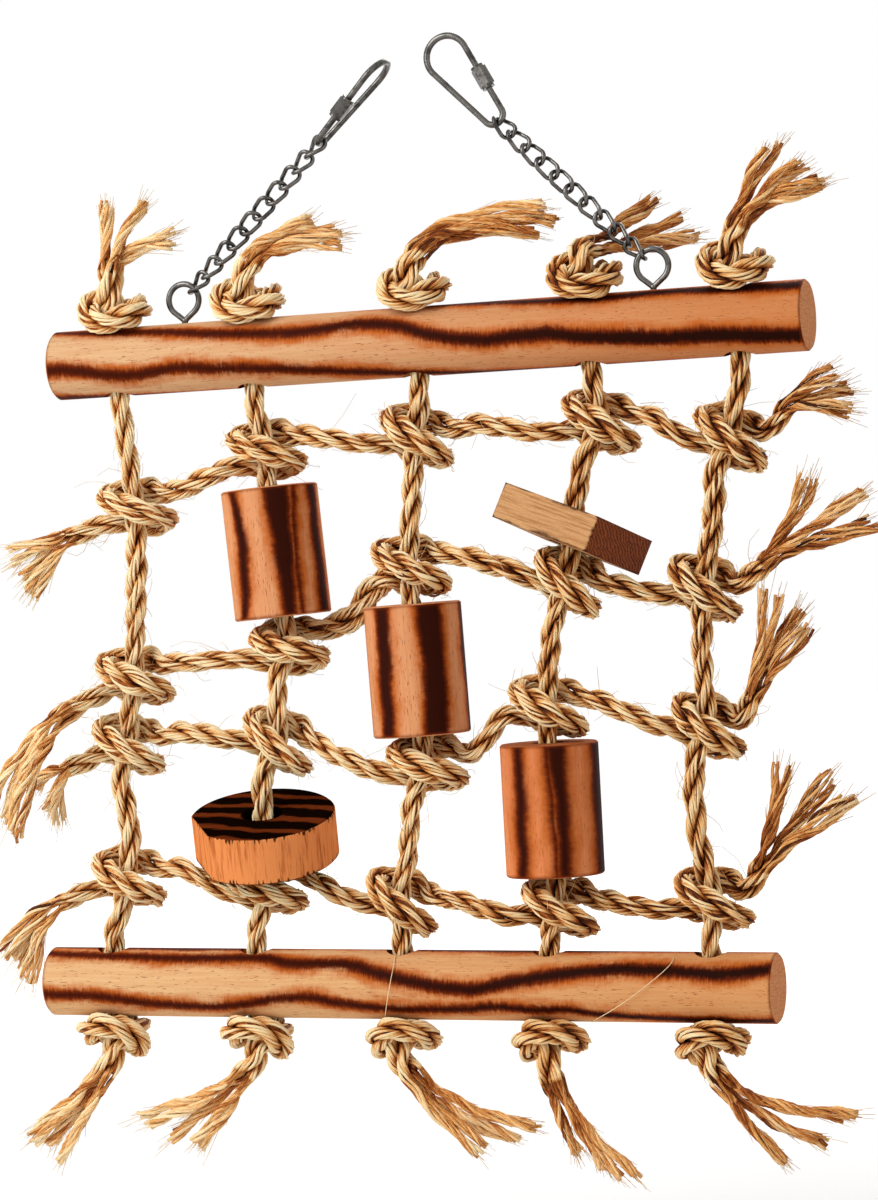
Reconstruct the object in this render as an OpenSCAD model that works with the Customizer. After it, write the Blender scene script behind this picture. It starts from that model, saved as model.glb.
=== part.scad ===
// Climbing net for cage birds: two wooden perches joined by a knotted sisal net,
// with wooden blocks threaded on the upright ropes. Two chains and two screw links hang it up.
// Millimetres, +Z up. The origin is the hook that holds both links, and the net hangs in the XZ plane.

/* [Rope] */
// Diameter of the sisal rope
rope_d = 8; // [7:0.5:9]
// Free space between ropes that pass each other in a knot
rope_gap = 0.8; // [0.7:0.1:1.2]
// Reach of a cross rope's turn on its wide side
turn_wide = 13; // [11.5:0.5:15]
// Reach of a cross rope's turn on its narrow side
turn_narrow = 11; // [10.5:0.5:12]
// Height that a cross rope climbs from the middle of its turn
turn_rise = 6; // [5.5:0.25:7]
// Turns that a rope makes in a stopper knot
stopper_turns = 1.5; // [1.25:0.25:1.75]
// Bare rope between a stopper knot and its loose strands
tail_neck = 5; // [3:0.5:8]

/* [Perches] */
// Diameter of both perches
perch_d = 25; // [22:0.5:28]
// Length of the upper perch
top_perch_len = 282; // [265:1:320]
// Length of the lower perch
bottom_perch_len = 274; // [260:1:320]
// Chamfer on the ends of the perches
perch_chamfer = 0.8; // [0.4:0.1:2]
// Free space round a rope in its perch hole
hole_clear = 1.8; // [1:0.1:2.2]
// Sideways shift of the upper perch between its two screw eyes
perch_shift = 2; // [0:0.5:4]
// Height of the net between the perches, at the middle
net_height = 205.5; // [203:0.5:225]
// Sideways shift of the lower perch from the upper one
bottom_shift = -6; // [-10:0.5:0]
// Slope of the lower perch in degrees
bottom_tilt = 1.75; // [0:0.25:3]
// Bare rope between a perch and the end of an upright's bend
bend_gap = 0.5; // [0.4:0.1:1]

/* [Wooden blocks] */
// Diameter of the three round blocks
block_d = 35; // [28:0.5:37]
// Length of the three round blocks
block_len = 47; // [40:0.5:52]
// Free space round a rope in a round block
block_clear = 1.5; // [1:0.1:2.5]
// Play of a round block between its two knots
block_play = 3.5; // [2:0.5:6]
// Chamfer on the edges of the blocks
block_chamfer = 0.6; // [0.3:0.1:1.5]
// Side of the square slab
slab_side = 41; // [34:0.5:44]
// Thickness of the square slab
slab_t = 13; // [10:0.5:15]
// Diameter of the disc
disc_d = 53; // [44:0.5:56]
// Thickness of the disc
disc_t = 17.5; // [13:0.5:19]
// Depth of the flat on the disc's rim
disc_flat = 3; // [1:0.5:5]
// Free space round a rope in the slab and the disc
plate_clear = 3.3; // [3.1:0.1:4]
// Free space between a block and the knot it sits on
seat_gap = 0.5; // [0.4:0.1:1]

/* [Chains] */
// Wire of the chain links
chain_wire = 1.6; // [1.4:0.1:1.8]
// Length inside a chain link
chain_inner = 7.7; // [7.4:0.1:9]
// Width over a chain link
chain_width = 7.4; // [7:0.1:8.5]
// Links in each chain
chain_count = 10; // [9:1:11]
// Free space where two wires hang in each other
wire_gap = 0.4; // [0.35:0.05:0.5]

/* [Screw links] */
// Wire of the screw links
link_wire = 2.4; // [2:0.1:2.6]
// Length over a screw link
link_len = 40.5; // [38:0.5:46]
// Radius of a screw link's wide end, to the middle of the wire
link_wide_r = 7.6; // [6.5:0.1:9]
// Radius of a screw link's narrow end, to the middle of the wire
link_narrow_r = 3.7; // [3.5:0.1:4.5]
// Opening in a screw link's leg, under the nut
link_mouth = 5; // [4:0.5:6]
// Length of a nut
nut_len = 9; // [8:0.5:11]
// Width of a nut across its flats
nut_flats = 5; // [4.6:0.1:6]
// Length of the round collar at each end of a nut
nut_collar = 1; // [0.5:0.1:1.5]
// Free space between a nut and the wire
nut_clear = 0.1; // [0.05:0.01:0.2]

/* [Screw eyes] */
// Wire of the screw eyes
eye_wire = 2.2; // [1.8:0.1:2.4]
// Radius of a screw eye's ring, to the middle of the wire
eye_r = 5.8; // [5.2:0.1:6.2]
// Height of a ring's middle above the perch
eye_stand = 8.4; // [8.2:0.1:10]
// Height of the point where the ring runs into its shank
eye_foot = 0.9; // [0.8:0.1:1.5]
// Depth of a screw eye's shank in the perch
shank_len = 16; // [10:0.5:19]
// Free space round a shank in its hole
shank_clear = 0.1; // [0.05:0.01:0.2]

/* [Hidden] */
$fn = 48;
rope_r = rope_d / 2;
rope_sides = 6;
strand_sides = 5;

function way(a) = [cos(a), 0, sin(a)];
function unit(v) = v / norm(v);
function ease(t) = let (c = min(max(t, 0), 1)) c * c * (3 - 2 * c);

// Places of the link tops, and the ways that links and chains run, in degrees from +X towards +Z
left_top = [-9.2, 0, -2.2];
right_top = [7.4, 0, 4.7];
left_link_way = 48.2;
right_link_way = 129.5;
left_chain_way = 226.8;
right_chain_way = 317.5;

// Holes along the upper and the lower perch, from its middle
top_holes = [-117, -65, -2, 62, 116];
bottom_holes = [-113, -57, -1, 54, 113];

// Knots of the net, row by row: sideways place, and drop below the upper perch
knots = [
    [[-110.5, 47], [-60, 26], [-2.5, 21], [65.5, 16], [112.5, 21.5]],
    [[-111.5, 109], [-51.5, 97], [-5, 67.5], [53.5, 72.5], [103.5, 74.5]],
    [[-114, 134], [-55.5, 131.5], [1, 138.5], [46.5, 117], [104.5, 122.5]],
    [[-114, 183], [-60, 184.5], [-8.5, 188], [50.5, 188], [107, 183.5]]
];
// The net as drawn: its height is the lowest drop and what is left below it, and each block has the
// same step between its two knots
below_knots = 17.5;
drawn_height = knots[3][2][1] + below_knots;
drawn_step = knots[1][1][1] - knots[0][1][1];
// Lean of each turn, in degrees
leans = [[0, 0, -16, -14, -20], [-4, 4, -6, -26, -20], [-12, -24, 0, -10, -18], [-10, 0, -22, -10, -10]];

// Bends of the uprights after a knot, each as a sideways place and a drop below that knot
bends = [
    [[[-110, 30]], [], [[-116.5, 13], [-113, 30]], [[-117, 14]]],
    [[], [[-55, 12]], [[-60.5, 12]], []],
    [[[-4, 22]], [], [[-3.5, 13], [-5.5, 33]], []],
    [[[60.5, 12], [57.5, 25]], [[49, 14]], [], []],
    [[[108, 11], [107, 30]], [[103, 22]], [[100.5, 14], [101.5, 38]], []]
];
// Columns and rows whose stretch below the knot carries a round block
block_seats = [[1, 0], [2, 1], [3, 2]];
slab_seat = [3, 0];
disc_seat = [1, 2];
slab_tilt = 21.6;
slab_tilt_way = 22.9;
slab_turn = -15;
disc_tilt = 16;
disc_flat_way = 215;

// Middle stretch of each cross rope between two knots: sideways place, drop and, where it passes
// behind a block, the distance back
cross_y = 2;
spans = [
    [[[-92, 40], [-78, 34]], [[-39, 21.5], [-22, 24]], [[21, 17], [43, 20]], [[85, 15], [96, 22]]],
    [[[-89, 103.5], [-72, 102]], [[-31, 88, 8], [-20, 75, 8]], [[14, 64], [33, 69]], [[75, 74.5], [88, 77]]],
    [[[-92, 129], [-77, 131]], [[-33, 136], [-17, 142]], [[18, 134.5], [31, 120.5]], [[66, 115], [83, 122]]],
    [[[-93, 179], [-79, 186]], [[-39, 183], [-26, 189]], [[12, 187], [31, 192]], [[71, 186], [88, 188]]]
];

// Loose ends of the cross ropes: from the knot to the end of the laid rope, and on from there to
// the tips of the three strands. The lowest left one hangs past the end of the lower perch.
end_short = 12;
end_reach = bottom_shift - cos(bottom_tilt) * bottom_perch_len / 2 - knots[3][0][0] + end_short;
left_ends = [[-16, 0, -10], [-14, -8, -12], [-16, 4, -9], [end_reach, -2, -9]];
right_ends = [[11, 0, 9], [13, 0, 9], [8, 0, 11], [9, 0, 12]];
left_tips = [
    [[-26, -2, -6], [-23, 4, -17], [-17, 0, -24]],
    [[-32, -8, -36], [-25, -4, -44], [-18, -9, -50]],
    [[-21, 6, -7], [-15, 10, -17], [-7, 6, -24]],
    [[-24, -2, -18], [-20, 3, -26], [-13, -2, -30]]
];
right_tips = [
    [[24, 2, -2], [20, 6, 9], [15, 0, 19]],
    [[44, 0, 12], [33, 6, 24], [14, -2, 34]],
    [[20, 2, 24], [15, 8, 30], [5, 0, 36]],
    [[34, 2, 24], [22, 8, 32], [4, 0, 37]]
];
// Loose ends above and below the perches, from the top of each stopper knot
top_tips = [
    [[27, 2, 11], [11, 6, 27], [-5, 0, 27]],
    [[36, 4, 4], [33, 10, 9], [26, 6, 12]],
    [[47, 4, 5], [50, 9, 11], [45, 5, 17]],
    [[35, 23, 3], [25, 31, 13], [14, 27, 21]],
    [[34, 2, 14], [23, 6, 23], [10, 0, 30]]
];
bottom_tips = [
    [[-31, 0, -26], [-26, 6, -32], [-17, 0, -36]],
    [[-45, 0, -13], [-34, 6, -23], [-20, 0, -27]],
    [[24, 0, -27], [38, 6, -23], [50, 0, -16]],
    [[7, 0, -27], [20, 6, -34], [32, 0, -36]],
    [[20, 0, -30], [37, 6, -22], [51, 0, -8]]
];
top_necks = [[0.1, 0, 1], [0.4, 0.3, 0.9], [0.5, 0.3, 0.8], [0.3, 0.95, 0.2], [0.4, 0, 0.9]];
bottom_necks = [[-0.5, 0, -0.85], [-0.2, -0.1, -0.95], [0.6, 0, -0.8], [0.3, 0, -0.95], [0.6, 0, -0.8]];

// Hanging: each chain runs from a link's narrow end to a screw eye, and the perch hangs from both
chain_pitch = chain_inner - wire_gap;
chain_reach = (chain_count - 1) * chain_pitch + chain_inner + chain_wire;
link_hang = (link_wire + chain_wire) / 2 + wire_gap;
eye_hang = (eye_wire + chain_wire) / 2 + wire_gap;
left_end = left_top - (link_len - link_wire / 2) * way(left_link_way);
right_end = right_top - (link_len - link_wire / 2) * way(right_link_way);
hang_len = chain_reach - link_hang - eye_hang;
left_eye = left_end + (hang_len + eye_r) * way(left_chain_way);
right_eye = right_end + (hang_len + eye_r) * way(right_chain_way);
top_tilt = atan2(right_eye.z - left_eye.z, right_eye.x - left_eye.x);
top_middle = (left_eye + right_eye) / 2 + perch_shift * way(top_tilt)
    - (perch_d / 2 + eye_stand) * way(top_tilt + 90);
net_z = top_middle.z - perch_d / 2;
bottom_middle = [top_middle.x + bottom_shift, 0, net_z - net_height - perch_d / 2];
hole_d = rope_d + 2 * hole_clear;
pivot_gap = rope_r + bend_gap;
knot_half = turn_rise + rope_r;

// Points in the net. A change of the net's height is shared by the free rope, and blocks keep their step.
block_step = block_len + 2 * knot_half + seat_gap + block_play;
function seat_row(col) = [for (s = block_seats) if (s[0] == col) s[1]][0];
function growth(col) = is_num(seat_row(col))
    ? (net_height - block_step) / (drawn_height - drawn_step) : net_height / drawn_height;
function drop(row, col) = let (below = is_num(seat_row(col)) && row > seat_row(col) ? 1 : 0)
    (knots[row][col][1] - below * drawn_step) * growth(col) + below * block_step;
function shift(row, col) = drop(row, col) - knots[row][col][1];
function net_point(p, y = 0) = [top_middle.x + p[0], y, net_z - p[1]];
function knot(row, col) = net_point([knots[row][col][0], drop(row, col)]);

// Where an upright bends at the perches
function top_pivot(c) = top_middle + top_holes[c] * way(top_tilt)
    - (perch_d / 2 + pivot_gap) * way(top_tilt + 90);
function bottom_pivot(c) = bottom_middle + bottom_holes[c] * way(bottom_tilt)
    + (perch_d / 2 + pivot_gap) * way(bottom_tilt + 90);

// Smooth line through points, with n steps between two of them
function between(a, b, c, d, t) = 0.5 * (2 * b + (c - a) * t + (2 * a - 5 * b + 4 * c - d) * t * t
    + (3 * b - a - 3 * c + d) * t * t * t);
function smooth_line(p, n) = concat([for (i = [0:len(p) - 2]) for (j = [0:n - 1])
    between(p[max(i - 1, 0)], p[i], p[i + 1], p[min(i + 2, len(p) - 1)], j / n)], [p[len(p) - 1]]);

// Least free space between a rope and itself, measured between points that lie over far_along
// rope diameters apart along it
far_along = 2.2;
function steps(p) = [for (i = 0, s = 0; i < len(p); i = i + 1,
    s = s + (i < len(p) ? norm(p[i] - p[i - 1]) : 0)) s];
function self_gap(p, d) = let (s = steps(p))
    min([for (i = [0:len(p) - 1]) for (j = [i + 1:1:len(p) - 1]) if (s[j] - s[i] > far_along * d)
        norm(p[i] - p[j]) - d]);

// One tube along a line, with a radius for each ring
function ways(p) = [for (i = [0:len(p) - 1]) unit(p[min(i + 1, len(p) - 1)] - p[max(i - 1, 0)])];
function first_side(t) = unit(cross(t, abs(t.y) < 0.8 ? [0, 1, 0] : [1, 0, 0]));
function side_ways(t) = [for (i = 0, s = first_side(t[0]); i < len(t); i = i + 1,
    s = let (k = t[min(i, len(t) - 1)]) unit(s - (s * k) * k)) s];
function ring(centre, t, s, r, n) = let (u = cross(t, s))
    [for (k = [0:n - 1]) centre + r * (cos(360 * k / n) * s + sin(360 * k / n) * u)];

module tube(line, radii, n) {
    t = ways(line);
    s = side_ways(t);
    rings = len(line);
    points = [for (i = [0:rings - 1]) each ring(line[i], t[i], s[i], radii[i], n)];
    walls = [for (i = [0:rings - 2]) for (k = [0:n - 1]) let (a = i * n + k, b = i * n + (k + 1) % n)
        each [[a, a + n, b], [b, a + n, b + n]]];
    start_cap = [for (k = [1:n - 2]) [0, k, k + 1]];
    last = (rings - 1) * n;
    end_cap = [for (k = [1:n - 2]) [last, last + k + 1, last + k]];
    polyhedron(points, concat(start_cap, walls, end_cap));
}

function even(line, r) = [for (p = line) r];

// Uprights, with a domed end where each bends at a perch
dome = [72, 38];
function block_way(c, r) = unit(knot(r, c) - knot(r + 1, c));
function block_foot(c, r) = knot(r + 1, c) + (turn_reach(r + 1, c) + seat_gap) * block_way(c, r);
function stretch(c, r) = seat_row(c) == r
    ? [block_foot(c, r) + block_len * block_way(c, r), block_foot(c, r)]
    : [for (b = bends[c][r]) net_point([b[0], drop(r, c) + growth(c) * b[1]])];
function upright_points(c) = concat([top_pivot(c)],
    [for (r = [0:3]) each concat([knot(r, c)], stretch(c, r))], [bottom_pivot(c)]);

module upright(c) {
    line = smooth_line(upright_points(c), 3);
    top_way = unit(line[0] - line[1]);
    low_way = unit(line[len(line) - 1] - line[len(line) - 2]);
    full = concat([for (a = dome) line[0] + rope_r * sin(a) * top_way], line,
        [for (i = [1, 0]) line[len(line) - 1] + rope_r * sin(dome[i]) * low_way]);
    radii = concat([for (a = dome) rope_r * cos(a)], even(line, rope_r),
        [for (i = [1, 0]) rope_r * cos(dome[i])]);
    color("#C9A15F") tube(full, radii, rope_sides);
}

// Cross ropes: a full turn and a half round each upright, low on the left and high on the right
turn_span = 230;
turn_rings = 13;
function lean_point(p, a) = [p.x * cos(a) - p.z * sin(a), p.y, p.x * sin(a) + p.z * cos(a)];
function turn_point(a) = [(sin(a) > 0 ? turn_wide : turn_narrow) * sin(a),
    -(rope_d + rope_gap) * cos(a), -turn_rise * sin(a / 2)];
function turn(row, col) = [for (i = [0:turn_rings])
    knot(row, col) + lean_point(turn_point(turn_span * (1 - 2 * i / turn_rings)), leans[row][col])];
// Height of a turn's top above the middle of its knot
function turn_reach(row, col) = max(knot_half,
    max([for (p = turn(row, col)) p.z]) - knot(row, col).z + rope_r);
function left_rope_end(row) = knot(row, 0) + left_ends[row] - [turn_narrow - rope_r, 0, 0];
function right_rope_end(row) = knot(row, 4) + right_ends[row] + [turn_wide - rope_r, 0, 0];
function span_point(p, row, col) = let (
    left = knots[row][col - 1][0],
    part = ease((p[0] - left) / (knots[row][col][0] - left)),
    down = (1 - part) * shift(row, col - 1) + part * shift(row, col))
    net_point([p[0], p[1] + down], len(p) > 2 ? p[2] : cross_y);
function cross_line(row) = concat([left_rope_end(row)], turn(row, 0),
    [for (c = [1:4]) each concat([for (p = spans[row][c - 1]) span_point(p, row, c)], turn(row, c))],
    [right_rope_end(row)]);

module cross_rope(row) {
    line = cross_line(row);
    echo(str("least gap of cross rope ", row + 1, " to itself"), self_gap(line, rope_d));
    color("#C9A15F") tube(line, even(line, rope_r), rope_sides);
}

// Stopper knots: out of the hole, round in a tight coil and away at the top. The frame is given by
// the mouth of the hole, the way along the perch and the way out of it.
coil_r = rope_d + rope_gap;
coil_start = 0.4 * rope_r;
coil_rings = 20;
coil_climb = stopper_turns * (rope_d + rope_gap);
coil_ramp = 0.3;
// Part of its radius that a coil loses at the top
coil_close = 0.45;
function coil_point(t) = let (a = 360 * stopper_turns * t + 90,
    r = coil_r * ease(t / coil_ramp) * (1 - coil_close * ease((t - 1 + coil_ramp) / coil_ramp)))
    [r * cos(a), r * sin(a), coil_start + coil_climb * t];
function placed(p, mouth, along, out) = mouth + p.x * along + p.y * [0, 1, 0] + p.z * out;
function stopper_line(mouth, along, out, neck) = let (
    coil = [for (i = [1:coil_rings]) placed(coil_point(i / coil_rings), mouth, along, out)],
    lead = [for (z = [-perch_d, -perch_d / 2, 0, coil_start]) placed([0, 0, z], mouth, along, out)])
    concat(lead, coil, [coil[coil_rings - 1] + tail_neck * unit(neck)]);
function top_mouth(c) = top_middle + top_holes[c] * way(top_tilt) + perch_d / 2 * way(top_tilt + 90);
function bottom_mouth(c) = bottom_middle + bottom_holes[c] * way(bottom_tilt)
    - perch_d / 2 * way(bottom_tilt + 90);
function top_line(c) = stopper_line(top_mouth(c), way(top_tilt), way(top_tilt + 90), top_necks[c]);
function bottom_line(c) = stopper_line(bottom_mouth(c), way(bottom_tilt), way(bottom_tilt - 90),
    bottom_necks[c]);

module stopper(line, name) {
    echo(str("least gap of ", name, " to itself"), self_gap(line, rope_d));
    color("#C9A15F") tube(line, even(line, rope_r), rope_sides);
}

// Loose strands past the end of a laid rope: three, that spread to their own tips
strand_r = rope_r / (1 + 2 / sqrt(3));
strand_gap = 0.3;
strand_rings = 5;
strand_taper = [1, 1, 1, 0.95, 0.85];
strand_fill = 0.96;
strand_spread = 1.02;
strand_pull = 0.45;
function strand(start, heading, tip) = let (pull = start + strand_pull * norm(tip - start) * heading)
    [for (i = [0:strand_rings - 1]) let (t = i / (strand_rings - 1))
        (1 - t) * (1 - t) * start + 2 * t * (1 - t) * pull + t * t * tip];

module tail(line, tips) {
    last = line[len(line) - 1];
    heading = unit(last - line[len(line) - 2]);
    reach = tips[0] - (tips[0] + tips[1] + tips[2]) / 3;
    side = unit(reach - (reach * heading) * heading);
    across = cross(heading, side);
    start = last + strand_gap * heading;
    spread = (rope_r - strand_r) * strand_spread;
    turned = cross(tips[0] - tips[2], tips[1] - tips[2]) * heading > 0 ? 1 : -1;
    for (k = [0:2]) {
        a = 120 * k;
        foot = start + spread * (cos(a) * side + turned * sin(a) * across);
        radii = [for (f = strand_taper) strand_r * strand_fill * f];
        color("#D8B878") tube(strand(foot, heading, last + tips[k]), radii, strand_sides);
    }
}

function reversed(line) = [for (i = [len(line) - 1:-1:0]) line[i]];

// Perches: a turned bar with chamfered ends, rope holes and, on the upper one, shank holes
module perch(middle, tilt, length, holes, shanks) {
    color("#DDB27E") translate(middle) rotate([0, -tilt, 0]) difference() {
        rotate([0, 90, 0]) translate([0, 0, -length / 2]) rotate_extrude() polygon([
            [0, 0], [perch_d / 2 - perch_chamfer, 0], [perch_d / 2, perch_chamfer],
            [perch_d / 2, length - perch_chamfer], [perch_d / 2 - perch_chamfer, length], [0, length]]);
        for (x = holes) translate([x, 0, -perch_d]) cylinder(d = hole_d, h = 2 * perch_d);
        for (x = shanks) translate([x, 0, perch_d / 2 - shank_len - shank_clear])
            cylinder(d = eye_wire + 2 * shank_clear, h = shank_len + perch_d);
    }
}

function along_perch(p) = (p - top_middle) * way(top_tilt);
module top_perch() {
    perch(top_middle, top_tilt, top_perch_len, top_holes, [along_perch(left_eye), along_perch(right_eye)]);
}
module bottom_perch() {
    perch(bottom_middle, bottom_tilt, bottom_perch_len, bottom_holes, []);
}

// Screw eye: a ring whose two sides run down to a point on the shank. The sides are drawn a hair thinner
// than the ring, and each ends inside it.
eye_drop = eye_stand - eye_foot;
eye_spread = acos(eye_r / eye_drop);
eye_leg = sqrt(eye_drop * eye_drop - eye_r * eye_r);
eye_neck_d = 1.18 * eye_wire;
module screw_eye(middle) {
    color("silver") translate(middle) rotate([0, -top_tilt, 0]) union() {
        rotate([90, 0, 0]) rotate([0, 0, eye_spread - 90]) rotate_extrude(angle = 360 - 2 * eye_spread)
            translate([eye_r, 0]) circle(d = eye_wire);
        for (m = [0, 1]) mirror([m, 0, 0]) translate([0, 0, -eye_drop]) rotate([0, 90 - eye_spread, 0])
            cylinder(d = eye_wire - wire_step, h = eye_leg + leg_sink);
        translate([0, 0, -eye_drop]) sphere(d = eye_neck_d);
        translate([0, 0, -eye_stand - shank_len]) cylinder(d = eye_wire, h = shank_len + eye_foot);
    }
}

// Chain: oval links, each twisted a quarter turn from end to end, so that they hang in each other and
// the chain lies flat. The first and the last link are turned to cross what they hang in.
link_twist = 90;
bend_rings = 7;
wire_sides = 6;
bend_r = (chain_width - chain_wire) / 2;
oval_run = chain_inner + chain_wire - 2 * bend_r;
function oval_turn(x) = link_twist * x / (chain_inner + chain_wire);
function oval_point(i) = let (
    far = i < bend_rings ? 0 : 1,
    a = 180 * far - 90 + 180 * (i - far * bend_rings) / (bend_rings - 1),
    x = (0.5 - far) * oval_run + bend_r * cos(a), y = bend_r * sin(a))
    [x, y * cos(oval_turn(x)), y * sin(oval_turn(x))];
module twisted_link() {
    rings = 2 * bend_rings;
    n = wire_sides;
    line = [for (i = [0:rings - 1]) oval_point(i)];
    points = [for (i = [0:rings - 1]) let (
        t = unit(line[(i + 1) % rings] - line[(i + rings - 1) % rings]),
        up = [0, -sin(oval_turn(line[i].x)), cos(oval_turn(line[i].x))])
        each ring(line[i], t, unit(up - (up * t) * t), chain_wire / 2, n)];
    polyhedron(points, [for (i = [0:rings - 1]) for (k = [0:n - 1]) let (
        next = (i + 1) % rings * n, side = (k + 1) % n,
        a = i * n + k, b = i * n + side, c = next + k, d = next + side)
        each [[a, c, b], [b, c, d]]]);
}

function link_turn(total) = (total - 180 * round(total / 180)) / (chain_count - 1);
module chain(start, angle, first, last) {
    step = link_turn(last - first - link_twist);
    reach = (chain_inner + chain_wire) / 2 - link_hang;
    color("silver") translate(start) rotate([0, -angle, 0]) for (k = [0:chain_count - 1])
        translate([reach + k * chain_pitch, 0, 0])
            rotate([90 + first + link_twist / 2 + k * step, 0, 0]) twisted_link();
}

// Screw link: a pear-shaped loop with an opening in one leg, which a nut closes
link_run = link_len - link_wire - link_wide_r - link_narrow_r;
link_slope = asin((link_wide_r - link_narrow_r) / link_run);
leg_len = link_run * cos(link_slope);
leg_top = [link_wide_r * cos(link_slope), 0, -link_wide_r * sin(link_slope)];
nut_middle = leg_len / 2;
// The legs are drawn a hair thinner than the bends, and each ends inside them
wire_step = 0.08;
leg_d = link_wire - wire_step;
leg_sink = 0.25;
// Collars of a nut are a little narrower than its flats
collar_part = 0.98;

module arc(r, sweep, start) {
    rotate([90, 0, 0]) rotate([0, 0, start]) rotate_extrude(angle = sweep)
        translate([r, 0]) circle(d = link_wire);
}
module leg(from, to) {
    translate(leg_top) rotate([0, 180 + link_slope, 0]) translate([0, 0, from])
        cylinder(d = leg_d, h = to - from);
}
module link_loop() {
    color("silver") union() {
        arc(link_wide_r, 180 + 2 * link_slope, -link_slope);
        translate([0, 0, -link_run]) arc(link_narrow_r, 180 - 2 * link_slope, 180 + link_slope);
        mirror([1, 0, 0]) leg(-leg_sink, leg_len + leg_sink);
        leg(-leg_sink, nut_middle - link_mouth / 2);
        leg(nut_middle + link_mouth / 2, leg_len + leg_sink);
    }
}
module link_nut() {
    color("gainsboro") translate(leg_top) rotate([0, 180 + link_slope, 0])
        translate([0, 0, nut_middle - nut_len / 2]) difference() {
            union() {
                cylinder(d = collar_part * nut_flats, h = nut_len);
                translate([0, 0, nut_collar])
                    cylinder(d = nut_flats / cos(30), h = nut_len - 2 * nut_collar, $fn = 6);
            }
            translate([0, 0, -1]) cylinder(d = leg_d + 2 * nut_clear, h = nut_len + 2);
        }
}
module on_left_link() {
    translate(left_top - (link_wide_r + link_wire / 2) * way(left_link_way))
        rotate([0, 90 - left_link_way, 0]) rotate([0, 0, -90]) children();
}
module on_right_link() {
    translate(right_top - (link_wide_r + link_wire / 2) * way(right_link_way))
        rotate([0, 90 - right_link_way, 0]) children();
}

// Wooden blocks
module turned_block(d, h, bore) {
    difference() {
        rotate_extrude() polygon([[0, 0], [d / 2 - block_chamfer, 0], [d / 2, block_chamfer],
            [d / 2, h - block_chamfer], [d / 2 - block_chamfer, h], [0, h]]);
        translate([0, 0, -1]) cylinder(d = bore, h = h + 2);
    }
}
module round_block(c, r) {
    w = block_way(c, r);
    color("#D9A870") translate(block_foot(c, r)) rotate([0, atan2(w.x, w.z), 0])
        turned_block(block_d, block_len, rope_d + 2 * block_clear);
}

// Slab and disc hang askew on their ropes, each on the line between the last bend and the knot below
function plate_way(seat) = let (s = stretch(seat[0], seat[1]))
    unit(s[len(s) - 1] - knot(seat[1] + 1, seat[0]));
function plate_middle(seat, rise) = knot(seat[1] + 1, seat[0]) + rise * plate_way(seat);
slab_rise = knot_half + seat_gap + tan(slab_tilt) * rope_d / 3 + slab_t / 2 / cos(slab_tilt);
disc_rise = turn_rise * sin(45) + rope_r + 2 * seat_gap + disc_t / 2 / cos(disc_tilt);

module slab() {
    bevel = slab_side / 2 - block_chamfer;
    half = slab_side / 2;
    color("#D9A870") translate(plate_middle(slab_seat, slab_rise))
        rotate(a = slab_tilt, v = [-sin(slab_tilt_way), cos(slab_tilt_way), 0]) rotate([0, 0, slab_turn])
        difference() {
            translate([0, 0, -slab_t / 2]) linear_extrude(slab_t) polygon([
                [half, bevel], [bevel, half], [-bevel, half], [-half, bevel],
                [-half, -bevel], [-bevel, -half], [bevel, -half], [half, -bevel]]);
            cylinder(d = rope_d + 2 * plate_clear, h = 2 * slab_t, center = true);
        }
}
module disc() {
    color("#B9713A") translate(plate_middle(disc_seat, disc_rise)) rotate([disc_tilt, 0, 0])
        difference() {
            translate([0, 0, -disc_t / 2]) turned_block(disc_d, disc_t, rope_d + 2 * plate_clear);
            rotate([0, 0, disc_flat_way]) translate([disc_d / 2 - disc_flat, -disc_d / 2, -disc_t])
                cube([disc_d, disc_d, 2 * disc_t]);
        }
}

columns = [1:5];
rows = [1:4];

on_left_link() link_loop();  // left_link
on_right_link() link_loop();  // right_link
on_left_link() link_nut();  // left_nut
on_right_link() link_nut();  // right_nut
chain(left_end, left_chain_way, 0, 90);  // left_chain
chain(right_end, right_chain_way, 90, 90);  // right_chain
top_perch();
screw_eye(left_eye);  // left_screw_eye
screw_eye(right_eye);  // right_screw_eye
bottom_perch();
round_block(1, 0);  // left_round_block
round_block(2, 1);  // middle_round_block
round_block(3, 2);  // right_round_block
slab();  // square_slab
disc();  // flat_disc
for (c = columns) {
    stopper(top_line(c - 1), str("top knot ", c));
    tail(top_line(c - 1), top_tips[c - 1]);
    upright(c - 1);
    stopper(bottom_line(c - 1), str("bottom knot ", c));
    tail(bottom_line(c - 1), bottom_tips[c - 1]);
}
for (r = rows) {
    cross_rope(r - 1);
    tail(reversed(cross_line(r - 1)), left_tips[r - 1]);
    tail(cross_line(r - 1), right_tips[r - 1]);
}
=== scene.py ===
"""Looks of a hanging climbing net for cage birds: sisal ropes, scorched pine and nickel wire."""

import logging
import math
from dataclasses import dataclass, field
from enum import Enum
from functools import cached_property
from typing import Any, Sequence, Union

import bmesh
import bpy
import numpy as np
from mathutils import Matrix, Vector


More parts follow.
